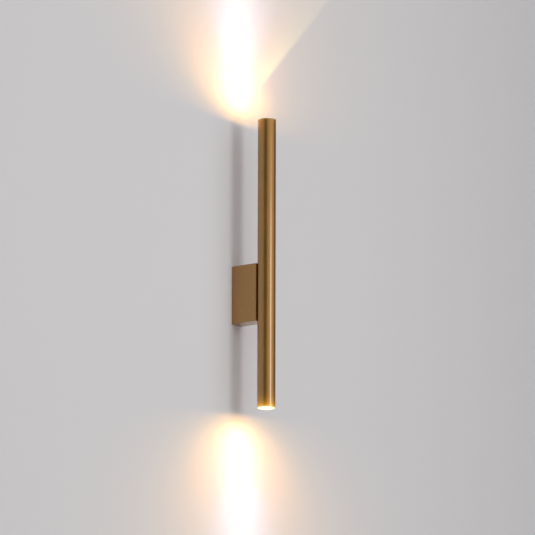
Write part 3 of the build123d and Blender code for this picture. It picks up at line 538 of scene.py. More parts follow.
def turned_metal(name, tones, roughness, pitch, centre, along, coat=0.0):
    """Metal with lathe marks: height = sin(2 pi u / pitch), with u along the axis, and away from it."""
    material, tree, place = new_material(name)
    centred = add(tree, "ShaderNodeVectorMath", {0: place, 1: centre}, operation="SUBTRACT").outputs[0]
    groove = {"Vector": centred, "Scale": WAVE_PERIOD / pitch, "Distortion": 0.6, "Detail Scale": 4.0}
    side = add(tree, "ShaderNodeTexWave", groove, wave_type="BANDS", bands_direction=along)
    ends = add(tree, "ShaderNodeTexWave", groove, wave_type="RINGS", rings_direction=along)
    marks = add(tree, "ShaderNodeMath", {0: side.outputs["Fac"], 1: ends.outputs["Fac"]}, operation="ADD")
    stain = add(tree, "ShaderNodeTexNoise", {"Vector": place, "Scale": 1 / STAIN, "Detail": 4.0})
    base = add(tree, "ShaderNodeValToRGB", {"Fac": stain.outputs["Fac"]},
               [(0.35, tones[0]), (0.65, tones[1])])
    rough = add(tree, "ShaderNodeMapRange", {
        "Value": stain.outputs["Fac"], "From Min": 0.3, "From Max": 0.7, "To Min": roughness,
        "To Max": roughness + 0.1,
    })
    bump = add(tree, "ShaderNodeBump", {"Height": marks.outputs[0], "Strength": 0.35, "Distance": 0.02 * MM})
    shader = add(tree, "ShaderNodeBsdfPrincipled", {
        "Base Color": base.outputs[0],
        "Metallic": 1.0,
        "Roughness": rough.outputs[0],
        "Coat Weight": coat,
        "Coat Roughness": 0.2,
        "Normal": bump.outputs[0],
    })
    add(tree, "ShaderNodeOutputMaterial", {"Surface": shader.outputs[0]})
    return material


brass = turned_metal("turned_brass", ("#B98F45", "#D2AC5E"), 0.28, 0.3 * MM, middle("terminal_clamps"), "Z")
dress(brass, "terminal_clamps")
for end in ("upper", "lower"):
    sink = middle(f"{end}_heat_sink")
    screw = middle(f"{end}_heat_sink_screw")
    dress(turned_metal(f"turned_aluminium_{end}", ("#BFC2C5", "#D3D5D7"), 0.3, 0.35 * MM, sink, "Z"),
          f"{end}_heat_sink")
    dress(turned_metal(f"gold_lacquered_screw_{end}", ("#A4762E", "#B98A3E"), 0.36, 0.25 * MM, screw, "Y",
                       coat=1.0), f"{end}_heat_sink_screw")

# %% [markdown]
# ## Moulded plastics
# Nylon, polycarbonate and rubber parts copy their mould. Spark erosion leaves the mould evenly pitted, a
# tenth to a third of a millimetre wide, which turns gloss into a satin look. Where the melt flowed, tone
# and gloss drift slowly. The same function serves them all, with each plastic's colours, gloss and pit size.
# Nylon is a little milky, polycarbonate is smoother, and rubber is dull with a grey bloom.

# %% Moulded plastics
FLOW = 14 * MM


def moulded(name, tones, roughness, pit, depth):
    """Plastic: fine pits as bump, slow drifts of the melt in tone and roughness."""
    material, tree, place = new_material(name)
    pits = add(tree, "ShaderNodeTexNoise", {"Vector": place, "Scale": 1 / pit, "Detail": 2.0})
    flow = add(tree, "ShaderNodeTexNoise",
               {"Vector": place, "Scale": 1 / FLOW, "Detail": 3.0, "Distortion": 1.0})
    base = add(tree, "ShaderNodeValToRGB", {"Fac": flow.outputs["Fac"]}, [(0.3, tones[0]), (0.7, tones[1])])
    rough = add(tree, "ShaderNodeMapRange", {
        "Value": flow.outputs["Fac"], "From Min": 0.3, "From Max": 0.7, "To Min": roughness - 0.05,
        "To Max": roughness + 0.05,
    })
    bump = add(tree, "ShaderNodeBump", {"Height": pits.outputs["Fac"], "Strength": 0.5, "Distance": depth})
    shader = add(tree, "ShaderNodeBsdfPrincipled", {
        "Base Color": base.outputs[0],
        "Roughness": rough.outputs[0],
        "Normal": bump.outputs[0],
    })
    add(tree, "ShaderNodeOutputMaterial", {"Surface": shader.outputs[0]})
    return material


# name, two tones, roughness, width and depth of the pits, and the pieces
PLASTICS = [
    ("moulded_rubber", ("#19191A", "#242425"), 0.8, 0.3 * MM, 0.04 * MM, ["cable_grommet"]),
    ("moulded_white_nylon", ("#DCDAD1", "#E8E6DE"), 0.5, 0.2 * MM, 0.03 * MM,
     ["terminal_body", "wire_bushing"]),
    ("moulded_black_nylon", ("#1D1E20", "#27282B"), 0.5, 0.2 * MM, 0.03 * MM,
     ["upper_lens_holder", "lower_lens_holder"]),
    ("moulded_polycarbonate", ("#CFCEC8", "#D9D8D2"), 0.4, 0.15 * MM, 0.02 * MM,
     ["driver_base", "driver_lid"]),
]
for name, tones, roughness, pit, depth, nodes in PLASTICS:
    dress(moulded(name, tones, roughness, pit, depth), *nodes)

# %% [markdown]
# ## Insulated leads
# The leads have extruded insulation: smooth, with fine lines along the lead from the die. Their colours say
# what they carry. Earth is green with a yellow stripe down each face, live is brown, neutral is blue, and
# the leads to the lamps are white. The stripe and the change from brown to blue depend on x alone, because
# every lead lies in a plane of constant x: the blue one in the plane x = 0, the brown one beside it.

# %% Insulated leads
DIE_LINE = 0.15 * MM
DIE_SQUEEZE = 0.05  # the lines are 20 times as long as they are wide
SMUDGE = 2 * MM
STRIPE_HALF = 0.35 * MM
MIDDLE_HALF = 2.0 * MM  # a lead that lies nearer to x = 0 than this takes the second colour


def insulation(name, first, second, x_middle, x_half):
    """Extruded plastic: the second colour where |x - x_middle| is below x_half, and die lines as bump."""
    material, tree, place = new_material(name)
    across = add(tree, "ShaderNodeSeparateXYZ", {0: place}).outputs["X"]
    stripe = add(tree, "ShaderNodeMath", {0: across, 1: x_middle, 2: x_half}, operation="COMPARE")
    tone = add(tree, "ShaderNodeMix", {"Factor": stripe.outputs[0], "A": colour(first), "B": colour(second)},
               data_type="RGBA")
    smudge = add(tree, "ShaderNodeTexNoise", {"Vector": place, "Scale": 1 / SMUDGE, "Detail": 3.0})
    shade = add(tree, "ShaderNodeValToRGB", {"Fac": smudge.outputs["Fac"]},
                [(0.3, "#E6E6E6"), (0.7, "#FFFFFF")])
    base = add(tree, "ShaderNodeMix", {"Factor": 1.0, "A": tone.outputs["Result"], "B": shade.outputs[0]},
               data_type="RGBA", blend_type="MULTIPLY")
    drawn = add(tree, "ShaderNodeMapping", {"Vector": place, "Scale": (1, 1, DIE_SQUEEZE)})
    line = add(tree, "ShaderNodeTexNoise", {"Vector": drawn.outputs[0], "Scale": 1 / DIE_LINE, "Detail": 1.0})
    bump = add(tree, "ShaderNodeBump",
               {"Height": line.outputs["Fac"], "Strength": 0.3, "Distance": 0.02 * MM})
    shader = add(tree, "ShaderNodeBsdfPrincipled", {
        "Base Color": base.outputs["Result"],
        "Roughness": 0.42,
        "Normal": bump.outputs[0],
    })
    add(tree, "ShaderNodeOutputMaterial", {"Surface": shader.outputs[0]})
    return material


dress(insulation("earth_insulation", "#2F8A34", "#E3C62C", middle("earth_lead")[0], STRIPE_HALF),
      "earth_lead")
dress(insulation("mains_insulation", "#6B3B22", "#2F62B4", 0.0, MIDDLE_HALF), "mains_leads")
dress(insulation("lamp_lead_insulation", "#E4E1D8", "#DCD8CD", 0.0, MIDDLE_HALF), "led_supply_leads",
      "led_link_lead")

# %% [markdown]
# ## The circuit boards
# The driver's board is glass laminate under green solder resist. The resist lies over copper tracks, which
# show through it as paler fields between thin dark gaps, so a brick pattern stands for them. The boards
# behind the lamps are aluminium with white resist, and have the same gaps, wider apart.

# %% Circuit boards
TRACK_GAP = 0.12 * MM
GLASS_WEAVE = 0.4 * MM


def solder_resist(name, copper, copper_too, gap, width, row, turned):
    """Glossy resist over tracks: bricks of two near tones, with the gaps between them lower and darker."""
    material, tree, place = new_material(name)
    flat = add(tree, "ShaderNodeMapping", {"Vector": place, "Rotation": (turned, 0, 0)})
    track = add(tree, "ShaderNodeTexBrick", {
        "Vector": flat.outputs[0], "Scale": 1.0, "Brick Width": width, "Row Height": row,
        "Mortar Size": TRACK_GAP, "Mortar": colour(gap), "Color1": colour(copper),
        "Color2": colour(copper_too),
    })
    weave = add(tree, "ShaderNodeTexNoise", {"Vector": place, "Scale": 1 / GLASS_WEAVE, "Detail": 2.0})
    level = add(tree, "ShaderNodeMath", {0: track.outputs["Fac"], 1: -1.0, 2: weave.outputs["Fac"]},
                operation="MULTIPLY_ADD")
    bump = add(tree, "ShaderNodeBump", {"Height": level.outputs[0], "Strength": 0.4, "Distance": 0.03 * MM})
    rough = add(tree, "ShaderNodeMapRange", {"Value": weave.outputs["Fac"], "To Min": 0.22, "To Max": 0.36})
    shader = add(tree, "ShaderNodeBsdfPrincipled", {
        "Base Color": track.outputs["Color"],
        "Roughness": rough.outputs[0],
        "Normal": bump.outputs[0],
    })
    add(tree, "ShaderNodeOutputMaterial", {"Surface": shader.outputs[0]})
    return material


dress(solder_resist("green_solder_resist", "#1F6E45", "#256F3F", "#0F4A2C", 5.2 * MM, 1.3 * MM, np.pi / 2),
      "driver_pcb")
dress(solder_resist("white_solder_resist", "#F0F0EC", "#ECEDEA", "#D3D4D0", 9.0 * MM, 4.5 * MM, 0.0),
      "upper_led_board", "lower_led_board")

# %% [markdown]
# ## The driver's transformer
# The transformer has a ferrite core wrapped in yellow polyester tape, and its coil stands out of both ends.
# The tape is wound in laps, whose edges stand up a little: a saw-toothed wave along z. The coil's wire is a
# finer wave, and the height above or below the middle decides which of the two shows.

# %% Transformer
TAPE_WIDTH = 3.0 * MM
COIL_WIRE = 0.3 * MM
CORE_HALF = 9.59 * MM  # half the length of the taped core, and a hundredth more


def wound_transformer():
    """Yellow tape in overlapping laps on the core, and coil wire beyond its ends, with painted shade between
    its turns.
    """
    material, tree, place = new_material("polyester_tape_and_coil")
    height = add(tree, "ShaderNodeSeparateXYZ", {0: place}).outputs["Z"]
    from_middle = add(tree, "ShaderNodeMath", {0: height}, operation="ABSOLUTE")
    coil = add(tree, "ShaderNodeMath", {0: from_middle.outputs[0], 1: CORE_HALF}, operation="GREATER_THAN")
    lap = add(tree, "ShaderNodeTexWave",
              {"Vector": place, "Scale": WAVE_PERIOD / TAPE_WIDTH, "Distortion": 0.1},
              wave_type="BANDS", bands_direction="Z", wave_profile="SAW")
    wire = add(tree, "ShaderNodeTexWave",
               {"Vector": place, "Scale": WAVE_PERIOD / COIL_WIRE, "Distortion": 0.3},
               wave_type="BANDS", bands_direction="Z")
    tape = add(tree, "ShaderNodeValToRGB", {"Fac": lap.outputs["Fac"]}, [(0.0, "#C99D22"), (0.9, "#E0B838")])
    # Painted shade: the coil's copper darkens into the grooves between its turns.
    copper = add(tree, "ShaderNodeValToRGB", {"Fac": wire.outputs["Fac"]},
                 [(0.0, "#6E3418"), (0.6, "#B8683A")])
    base = add(tree, "ShaderNodeMix",
               {"Factor": coil.outputs[0], "A": tape.outputs[0], "B": copper.outputs[0]}, data_type="RGBA")
    level = add(tree, "ShaderNodeMix",
                {"Factor": coil.outputs[0], "A": lap.outputs["Fac"], "B": wire.outputs["Fac"]})
    bump = add(tree, "ShaderNodeBump", {"Height": level.outputs[0], "Strength": 0.6, "Distance": 0.05 * MM})
    shader = add(tree, "ShaderNodeBsdfPrincipled", {
        "Base Color": base.outputs["Result"],
        "Roughness": 0.35,
        "Normal": bump.outputs[0],
    })
    add(tree, "ShaderNodeOutputMaterial", {"Surface": shader.outputs[0]})
    return material


dress(wound_transformer(), "driver_transformer")

# %% [markdown]
# ## The choke
# The choke is a ring wound with enamelled copper wire. Modelling 26 turns of wire would cost many faces for a
# piece that nobody sees from outside, so the turns are drawn from the angle round the ring.

# %% Choke
CHOKE_TURNS = 26


def wound_choke():
    """Copper wire round a ring: height = |sin(turns * angle / 2)|, and painted shade darkens the grooves
    between the turns.
    """
    material, tree, place = new_material("enamelled_copper_wire")
    offset = add(tree, "ShaderNodeVectorMath", {0: place, 1: middle("driver_choke")}, operation="SUBTRACT")
    part = add(tree, "ShaderNodeSeparateXYZ", {0: offset.outputs[0]})
    angle = add(tree, "ShaderNodeMath", {0: part.outputs["Z"], 1: part.outputs["X"]}, operation="ARCTAN2")
    phase = add(tree, "ShaderNodeMath", {0: angle.outputs[0], 1: CHOKE_TURNS / 2}, operation="MULTIPLY")
    wave = add(tree, "ShaderNodeMath", {0: phase.outputs[0]}, operation="SINE")
    level = add(tree, "ShaderNodeMath", {0: wave.outputs[0]}, operation="ABSOLUTE")
    # Painted shade: the wire's colour darkens into the grooves between the turns.
    base = add(tree, "ShaderNodeValToRGB", {"Fac": level.outputs[0]}, [(0.1, "#5A2A12"), (0.6, "#C4713C")])
    bump = add(tree, "ShaderNodeBump", {"Height": level.outputs[0], "Strength": 1.0, "Distance": 0.15 * MM})
    shader = add(tree, "ShaderNodeBsdfPrincipled", {
        "Base Color": base.outputs[0],
        "Metallic": 1.0,
        "Roughness": 0.3,
        "Coat Weight": 1.0,
        "Coat Roughness": 0.1,
        "Normal": bump.outputs[0],
    })
    add(tree, "ShaderNodeOutputMaterial", {"Surface": shader.outputs[0]})
    return material


dress(wound_choke(), "driver_choke")

# %% [markdown]
# ## The capacitors
# Each capacitor is an aluminium can in a dark plastic sleeve. The sleeve is shrunk on with hot air, which
# leaves fine wrinkles round it. The cans stand along y, so a noise stretched along x and z gives them.

# %% Capacitors
WRINKLE = 0.6 * MM
WRINKLE_SQUEEZE = 0.25  # the wrinkles are four times as long as they are wide


def shrink_sleeve():
    """Dark film with long wrinkles in its tone and its bump, and a soft gloss."""
    material, tree, place = new_material("shrink_sleeve")
    pulled = add(tree, "ShaderNodeMapping", {"Vector": place, "Scale": (WRINKLE_SQUEEZE, 1, WRINKLE_SQUEEZE)})
    film = add(tree, "ShaderNodeTexNoise", {"Vector": pulled.outputs[0], "Scale": 1 / WRINKLE, "Detail": 2.0})
    base = add(tree, "ShaderNodeValToRGB", {"Fac": film.outputs["Fac"]}, [(0.3, "#12161F"), (0.7, "#1C2230")])
    bump = add(tree, "ShaderNodeBump",
               {"Height": film.outputs["Fac"], "Strength": 0.4, "Distance": 0.05 * MM})
    shader = add(tree, "ShaderNodeBsdfPrincipled", {
        "Base Color": base.outputs[0],
        "Roughness": 0.28,
        "Normal": bump.outputs[0],
    })
    add(tree, "ShaderNodeOutputMaterial", {"Surface": shader.outputs[0]})
    return material


dress(shrink_sleeve(), "driver_capacitors")

# %% [markdown]
# ## Foam and thermal pads
# The driver sticks to the box with a pad of closed-cell foam, and a soft silicone sheet carries the heat
# from each lamp's board to its heat sink. Foam is a mass of bubbles cut open at the surface, so each
# Voronoi cell is a small dish, and the darker middle of each dish is painted shade. The silicone is filled
# with ceramic grains, which show as pale specks.

# %% Foam and silicone


def cellular(name, edge, hollow, size, depth, roughness):
    """Cells of a real size: the distance from each cell's middle gives its tone and its height."""
    material, tree, place = new_material(name)
    cell = add(tree, "ShaderNodeTexVoronoi", {"Vector": place, "Scale": 1 / size})
    base = add(tree, "ShaderNodeValToRGB", {"Fac": cell.outputs["Distance"]}, [(0.15, hollow), (0.7, edge)])
    bump = add(tree, "ShaderNodeBump",
               {"Height": cell.outputs["Distance"], "Strength": 0.8, "Distance": depth})
    shader = add(tree, "ShaderNodeBsdfPrincipled", {
        "Base Color": base.outputs[0],
        "Roughness": roughness,
        "Normal": bump.outputs[0],
    })
    add(tree, "ShaderNodeOutputMaterial", {"Surface": shader.outputs[0]})
    return material


# The foam's darker cell middles are painted shade in the cut-open bubbles; the silicone's pale middles are
# its grains.
dress(cellular("closed_cell_foam", "#77797C", "#4E5053", 0.4 * MM, 0.15 * MM, 0.95), "driver_pad")
dress(cellular("filled_silicone", "#7B8792", "#A9B2BA", 0.5 * MM, 0.02 * MM, 0.7), "upper_thermal_pad",
      "lower_thermal_pad")

# %% [markdown]
# ## Lens and emitter
# The lens is polished acrylic, so it transmits light and only faint flow lines disturb it. The emitter is a
# dome of clear silicone over yellow phosphor, on a white ceramic base, so its colour depends on the distance
# from the tube's axis.

# %% Lens and emitter
FLOW_LINE = 3 * MM
DOME_RADIUS = 2.61 * MM
PHOSPHOR_GRAIN = 0.15 * MM


def clear_acrylic():
    """Glass-like body at acrylic's refractive index, with flow lines as a faint bump."""
    material, tree, place = new_material("polished_clear_acrylic")
    flow = add(tree, "ShaderNodeTexNoise", {"Vector": place, "Scale": 1 / FLOW_LINE, "Distortion": 1.5})
    bump = add(tree, "ShaderNodeBump",
               {"Height": flow.outputs["Fac"], "Strength": 0.1, "Distance": 0.05 * MM})
    rough = add(tree, "ShaderNodeMapRange", {"Value": flow.outputs["Fac"], "To Min": 0.01, "To Max": 0.05})
    shader = add(tree, "ShaderNodeBsdfPrincipled", {
        "Base Color": colour("#FBFCFD"),
        "Roughness": rough.outputs[0],
        "IOR": 1.49,
        "Transmission Weight": 1.0,
        "Normal": bump.outputs[0],
    })
    add(tree, "ShaderNodeOutputMaterial", {"Surface": shader.outputs[0]})
    return material


def emitter():
    """Phosphor inside the dome's radius and ceramic outside it, with a fine grain, under a silicone gloss."""
    material, tree, place = new_material("silicone_over_phosphor")
    dome = add(tree, "ShaderNodeMath", {0: from_axis(tree, place), 1: DOME_RADIUS}, operation="LESS_THAN")
    grain = add(tree, "ShaderNodeTexNoise", {"Vector": place, "Scale": 1 / PHOSPHOR_GRAIN})
    phosphor = add(tree, "ShaderNodeValToRGB", {"Fac": grain.outputs["Fac"]},
                   [(0.3, "#E8BE34"), (0.7, "#F6D656")])
    base = add(tree, "ShaderNodeMix",
               {"Factor": dome.outputs[0], "A": colour("#E9E7DF"), "B": phosphor.outputs[0]},
               data_type="RGBA")
    bump = add(tree, "ShaderNodeBump",
               {"Height": grain.outputs["Fac"], "Strength": 0.2, "Distance": 0.02 * MM})
    shader = add(tree, "ShaderNodeBsdfPrincipled", {
        "Base Color": base.outputs["Result"],
        "Roughness": 0.35,
        "Coat Weight": 0.6,
        "Coat Roughness": 0.08,
        "Normal": bump.outputs[0],
    })
    add(tree, "ShaderNodeOutputMaterial", {"Surface": shader.outputs[0]})
    return material


dress(clear_acrylic(), "upper_lens", "lower_lens")
dress(emitter(), "upper_led_emitter", "lower_led_emitter")

# %% [markdown]
# ## The room
# The light hangs on a pale wall. The wall is one sheet that is solid only from its front, so that a view
# from behind looks through it at the light's back, and it has an opening behind the box, as a real wall has
# one for the cable. Far below lies a pale floor. It and the sky beyond it are one plain pale tone to the
# camera and in reflections, so that no horizon shows in views from other sides.

# %% Paint and sheets for the room
PALE = "#D8D6D7"
ROLLER = 2 * MM


def seen_directly(tree):
    """1 for camera, mirror and glass rays, 0 for the rays that carry light."""
    rays = add(tree, "ShaderNodeLightPath").outputs
    seen = rays["Is Camera Ray"]
    for kind in ("Is Glossy Ray", "Is Transmission Ray"):
        seen = add(tree, "ShaderNodeMath", {0: seen, 1: rays[kind]}, operation="MAXIMUM").outputs[0]
    return seen


def stage_paint(name, code, roughness, plain):
    """Matt paint with a faint roller pattern, clear from behind, and plain pale to the camera where asked."""
    material, tree, place = new_material(name)
    roller = add(tree, "ShaderNodeTexNoise", {"Vector": place, "Scale": 1 / ROLLER, "Detail": 3.0})
    bump = add(tree, "ShaderNodeBump",
               {"Height": roller.outputs["Fac"], "Strength": 0.1, "Distance": 0.05 * MM})
    shown = add(tree, "ShaderNodeBsdfPrincipled", {
        "Base Color": colour(code),
        "Roughness": roughness,
        "Specular IOR Level": 0.2,
        "Normal": bump.outputs[0],
    }).outputs[0]
    if plain:
        glow = add(tree, "ShaderNodeEmission", {"Color": colour(PALE), "Strength": 1.0}).outputs[0]
        shown = add(tree, "ShaderNodeMixShader", {0: seen_directly(tree), 1: shown, 2: glow}).outputs[0]
    behind = add(tree, "ShaderNodeNewGeometry").outputs["Backfacing"]
    clear = add(tree, "ShaderNodeBsdfTransparent").outputs[0]
    mix = add(tree, "ShaderNodeMixShader", {0: behind, 1: shown, 2: clear})
    add(tree, "ShaderNodeOutputMaterial", {"Surface": mix.outputs[0]})
    return material


def stage_sheet(name, corners, material, opening=()):
    """Flat sheet: one face, or a ring of four faces round an opening with as many corners."""
    ring = [(i, (i + 1) % 4, 4 + (i + 1) % 4, 4 + i) for i in range(4)]
    mesh = bpy.data.meshes.new(name)
    mesh.from_pydata([*corners, *opening], [], ring if opening else [(0, 1, 2, 3)])
    sheet = bpy.data.objects.new(name, mesh)
    bpy.context.collection.objects.link(sheet)
    mesh.materials.append(material)
    print(name, "reaches from", corners[0], "to", corners[2])
    return sheet


def rectangle(low, high):
    """Corners of a rectangle between two pairs of numbers, counterclockwise."""
    return [(low[0], low[1]), (high[0], low[1]), (high[0], high[1]), (low[0], high[1])]


print("the plain background is", PALE)

# %% [markdown]
# The wall stands a hair behind the box, so that the two never share a plane, and its opening ends just
# inside the box's outline, so that no gap shows.

# %% Wall and floor
WALL_GAP = 0.3 * MM
WALL_HALF = 7.0
OPENING_INSET = 1.0 * MM  # how far the wall reaches behind the box's rim
FLOOR_DEPTH = 2.5
FLOOR_HALF = 30.0

box_low, box_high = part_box("wall_box")
wall = rectangle((-WALL_HALF, -WALL_HALF), (WALL_HALF, WALL_HALF))
opening = rectangle((box_low[0] + OPENING_INSET, box_low[2] + OPENING_INSET),
                    (box_high[0] - OPENING_INSET, box_high[2] - OPENING_INSET))
floor = rectangle((-FLOOR_HALF, -FLOOR_HALF), (FLOOR_HALF, FLOOR_HALF))
wall_paint = stage_paint("matt_wall_paint", "#EFEDEF", 0.9, plain=False)
floor_paint = stage_paint("pale_floor", "#DAD8D6", 0.8, plain=True)
stage_sheet("wall", [(x, WALL_GAP, z) for x, z in wall], wall_paint, [(x, WALL_GAP, z) for x, z in opening])
stage_sheet("floor", [(x, y, -FLOOR_DEPTH) for x, y in floor], floor_paint)

# %% [markdown]
# ## The soft box
# One soft box hangs straight in front of the wall. Its mirror image is the bright line down the tube, so its
# width sets how wide that line is. The soft box itself is hidden from the camera.

# %% Soft box
SOFTBOX_DISTANCE, SOFTBOX_RISE = 2.2, 0.05
SOFTBOX_WIDE, SOFTBOX_TALL, SOFTBOX_WATTS = 0.56, 1.2, 8.4


def lamp(name, kind, place, aim, watts, **settings):
    """White lamp at a place, turned to its aim."""
    light = bpy.data.lights.new(name, kind)
    for key, value in settings.items():
        setattr(light, key, value)
    light.energy = watts
    holder = bpy.data.objects.new(name, light)
    bpy.context.collection.objects.link(holder)
    holder.location = place
    holder.rotation_euler = (Vector(aim) - Vector(place)).to_track_quat("-Z", "Y").to_euler()
    print(name, "at", [round(v, 3) for v in place], "with", watts, "W")
    return holder


softbox = lamp("softbox", "AREA", (0, -SOFTBOX_DISTANCE, SOFTBOX_RISE), (0, 0, SOFTBOX_RISE),
               SOFTBOX_WATTS, shape="RECTANGLE", size=SOFTBOX_WIDE, size_y=SOFTBOX_TALL)
softbox.visible_camera = False

# %% [markdown]
# ## Flags and a shade
# A metal shows what is around it, so a dark band needs something dark beside the lamp: a photographer puts
# up black flags there. Ours are two dark sheets, left and right, that only reflections see.
# The wall gets a little darker towards its right. A photographer would keep some light off it with a shade,
# so a black cloth hangs there, out of the picture. It takes light away, but no mirror image shows it.

# %% Flags and shade
FLAG_ASIDE, FLAG_END = 3.0, -2.6  # metres to the side, and the y of the end away from the wall
SHADE_ASIDE, SHADE_END = 1.9, -1.6
CLOTH_START = -0.05  # the y of the end near the wall
CLOTH_FOOT, CLOTH_HEAD = -2.4, 3.0

flag_felt, tree, _ = new_material("black_flag_felt")
felt = add(tree, "ShaderNodeEmission", {"Color": colour("#3A3836"), "Strength": 1.0})
add(tree, "ShaderNodeOutputMaterial", {"Surface": felt.outputs[0]})
for side, x in (("left", -FLAG_ASIDE), ("right", FLAG_ASIDE)):
    corners = [(x, y, z) for y, z in rectangle((CLOTH_START, CLOTH_FOOT), (FLAG_END, CLOTH_HEAD))]
    flag = stage_sheet(f"flag_{side}", corners, flag_felt)
    flag.visible_camera = flag.visible_diffuse = flag.visible_shadow = flag.visible_transmission = False

shade_cloth, tree, _ = new_material("black_shade_cloth")
cloth = add(tree, "ShaderNodeBsdfDiffuse", {"Color": colour("#232323")})
add(tree, "ShaderNodeOutputMaterial", {"Surface": cloth.outputs[0]})
corners = [(SHADE_ASIDE, y, z) for y, z in rectangle((CLOTH_START, CLOTH_FOOT), (SHADE_END, CLOTH_HEAD))]
shade = stage_sheet("shade", corners, shade_cloth)
shade.visible_camera = shade.visible_glossy = shade.visible_transmission = False

# %% [markdown]
# ## The lamps in the tube
# A real disc throws its light through a lens in a cone, with a soft glow all round. Path-traced through the
# lens, that would need far too many samples, so a spot lamp stands just outside each disc instead. White
# LEDs are paler on their axis and more amber to the side, where light travels further through the phosphor,
# and the lens sends most of it straight ahead. So the lamp's colour and strength depend on the angle from the
# tube's axis: its Normal coordinate is the direction of the light in the lamp's own frame, and the
# arccosine of minus its z is that angle.
#
# The wall close to a lamp is lit many times more strongly than the wall further off. A camera holds such
# bright tones back, but Blender's Standard view cuts them off, which leaves a hard yellow ring round a
# white patch. So the light is softened near the lamp: with r the distance, f = r * r / (s + r * r) grows
# from 0 at the lamp to 1 far off. The light is the far colours times f, plus the near colours times 1 - f.

# %% The colours of a beam
END_GAP = 1.0 * MM
BEAM_WATTS, BEAM_RADIUS, LOWER_LEAN = 8.3, 8 * MM, 6.0  # the lean is in degrees
FAR = [(8, "#FFFFF7"), (17, "#FCF2D4"), (23, "#F2D1B6"), (29, "#E4BF8D"), (35, "#E0AC57"), (42, "#DCA340"),
       (50, "#D09618"), (58, "#B8860C"), (66, "#977005"), (74, "#755700"), (82, "#573E00"), (90, "#000000")]
NEAR = [(17, "#000082"), (29, "#00006B"), (35, "#00005B"), (42, "#000051"), (50, "#301B45"), (58, "#452936"),
        (68, "#452D22"), (80, "#201507")]  # both are degrees from the axis, and colour times strength
SOFTENING = 0.03  # s in square metres: f is a half at 173 mm
print("the light is softened to a half", round(np.sqrt(SOFTENING) / MM), "mm from a lamp")

# %% [markdown]
# ## A cut in the upper beam
# The lens of the upper lamp also throws one sharp-edged ray to the side. We cut the beam with a plane
# through the lamp: light is stronger just before that plane and weaker beyond it. Where the wall meets the
# plane, the ray's edge is a straight line. Close to the lamp everything is white, so the cut fades in.

# %% The cut in the upper beam
CUT_ACROSS = (0.690, 0.135, -0.711)  # across the plane of the cut, towards its dim side
CUT_PLAIN = "#929292"  # the tone that changes nothing, so that the ramp can also lift the light
CUT_TONES = [(0.38, CUT_PLAIN), (0.44, "#9DA5B4"), (0.49, "#A4BCFF"), (0.498, "#A4BCFF"), (0.504, "#6A6A6A"),
             (0.64, "#6A6A6A"), (0.8, CUT_PLAIN)]  # 0.5 is the plane, and 0.1 to a side of it is 11.5 degrees
CUT_START, CUT_WHOLE = 0.3, 0.42  # the cut fades in between these values of f, 113 to 147 mm off the lamp


def cut_beam(tree, way, across, share, light):
    """Light times a ramp over 0.5 + 0.5 sin(angle from the plane), fading in with the share f."""
    sine = add(tree, "ShaderNodeVectorMath", {0: way, 1: across}, operation="DOT_PRODUCT").outputs["Value"]
    beside = add(tree, "ShaderNodeMath", {0: sine, 1: 0.5, 2: 0.5}, operation="MULTIPLY_ADD")
    edge = add(tree, "ShaderNodeValToRGB", {"Fac": beside.outputs[0]}, CUT_TONES)
    lift = add(tree, "ShaderNodeVectorMath", {0: edge.outputs[0], "Scale": 1 / colour(CUT_PLAIN)[0]},
               operation="SCALE")
    start = add(tree, "ShaderNodeMapRange", {"Value": share, "From Min": CUT_START, "From Max": CUT_WHOLE})
    return add(tree, "ShaderNodeMix", {"Factor": start.outputs[0], "A": light, "B": lift.outputs[0]},
               data_type="RGBA", blend_type="MULTIPLY").outputs["Result"]


cut_reach = np.sqrt(SOFTENING * CUT_WHOLE / (1 - CUT_WHOLE))
print("the cut is whole from", round(cut_reach / MM), "mm off the lamp")

# %% [markdown]
# ## Light from the tube's ends
# With the colours and the cut ready, each lamp gets its node tree. The upper lamp shines straight up. The
# lower one leans a few degrees to the right, where its pool of light on the wall is the wider.

# %% Light from the tube's ends


def by_angle(tree, turned, tones):
    """Ramp of tones over the angle from the axis, where 1 is 90 degrees."""
    return add(tree, "ShaderNodeValToRGB", {"Fac": turned}, [(degrees / 90, code) for degrees, code in tones])


def shape_beam(holder, cut):
    """Far colours times f plus near colours times 1 - f, both by the angle arccos(-z) of the light's way."""
    holder.data.use_nodes = True
    tree = holder.data.node_tree
    tree.nodes.clear()
    way = add(tree, "ShaderNodeTexCoord").outputs["Normal"]
    back = add(tree, "ShaderNodeSeparateXYZ", {0: way}).outputs["Z"]
    cosine = add(tree, "ShaderNodeMath", {0: back, 1: -1.0}, operation="MULTIPLY")
    angle = add(tree, "ShaderNodeMath", {0: cosine.outputs[0]}, operation="ARCCOSINE")
    turned = add(tree, "ShaderNodeMath", {0: angle.outputs[0], 1: 2 / np.pi}, operation="MULTIPLY").outputs[0]
    share = add(tree, "ShaderNodeLightFalloff", {"Strength": 1.0, "Smooth": SOFTENING}).outputs["Quadratic"]
    light = by_angle(tree, turned, FAR).outputs[0]
    if cut:
        across = holder.rotation_euler.to_matrix().transposed() @ Vector(CUT_ACROSS)
        light = cut_beam(tree, way, across, share, light)
    beam = add(tree, "ShaderNodeVectorMath", {0: light, "Scale": share}, operation="SCALE")
    rest = add(tree, "ShaderNodeMath", {0: 1.0, 1: share}, operation="SUBTRACT")
    near = by_angle(tree, turned, NEAR).outputs[0]
    halo = add(tree, "ShaderNodeVectorMath", {0: near, "Scale": rest.outputs[0]}, operation="SCALE")
    both = add(tree, "ShaderNodeVectorMath", {0: beam.outputs[0], 1: halo.outputs[0]}, operation="ADD")
    glow = add(tree, "ShaderNodeEmission", {"Color": both.outputs[0], "Strength": 1.0})
    add(tree, "ShaderNodeOutputLight", {"Surface": glow.outputs[0]})


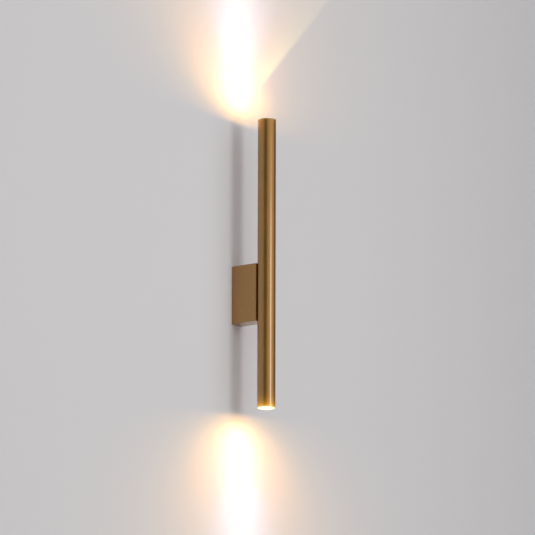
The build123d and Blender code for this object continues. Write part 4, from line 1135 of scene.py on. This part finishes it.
for name, end, outwards, lean in (("upper", TOP, 1, 0.0), ("lower", BOTTOM, -1, np.radians(LOWER_LEAN))):
    source = Vector((0, AXIS_DEPTH, end + outwards * END_GAP))
    ahead = Vector((np.sin(lean), 0, outwards * np.cos(lean)))
    beam = lamp(f"{name}_beam", "SPOT", source, source + ahead, BEAM_WATTS, spot_size=np.pi, spot_blend=0.0,
                shadow_soft_size=BEAM_RADIUS)
    shape_beam(beam, cut=name == "upper")

# %% [markdown]
# ## The sky
# The sky lights the wall with a gradient: its strength is a dim level plus a lobe towards the front, the
# square of the cosine of the angle from it. The camera and reflections see a plain pale tone instead.

# %% The sky
SKY_FRONT = (-0.05, -0.98, 0.2)
SKY_DIM, SKY_LOBE, SKY_POWER = 0.26, 0.78, 2.0
world = bpy.data.worlds.new("studio")
bpy.context.scene.world = world
world.use_nodes = True
sky = world.node_tree
sky.nodes.clear()
way = add(sky, "ShaderNodeTexCoord").outputs["Generated"]
facing = add(sky, "ShaderNodeVectorMath", {0: way, 1: SKY_FRONT}, operation="DOT_PRODUCT")
front = add(sky, "ShaderNodeMath", {0: facing.outputs["Value"], 1: 0.0}, operation="MAXIMUM")
lobe = add(sky, "ShaderNodeMath", {0: front.outputs[0], 1: SKY_POWER}, operation="POWER")
level = add(sky, "ShaderNodeMath", {0: lobe.outputs[0], 1: SKY_LOBE, 2: SKY_DIM}, operation="MULTIPLY_ADD")
lighting = add(sky, "ShaderNodeBackground", {"Color": colour("#FFFFFF"), "Strength": level.outputs[0]})
plain = add(sky, "ShaderNodeBackground", {"Color": colour(PALE), "Strength": 1.0})
both = add(sky, "ShaderNodeMixShader", {0: seen_directly(sky), 1: lighting.outputs[0], 2: plain.outputs[0]})
add(sky, "ShaderNodeOutputWorld", {"Surface": both.outputs[0]})
print("the sky's strength is", SKY_DIM, "at the sides and", round(SKY_DIM + SKY_LOBE, 2), "in front")

# %% [markdown]
# ## How tones are shown
# The Standard view shows a colour about as it is written, so the hex values above can be compared with what
# the picture shows.

# %% The view
bpy.context.scene.view_settings.view_transform = "Standard"
print("view:", bpy.context.scene.view_settings.view_transform)
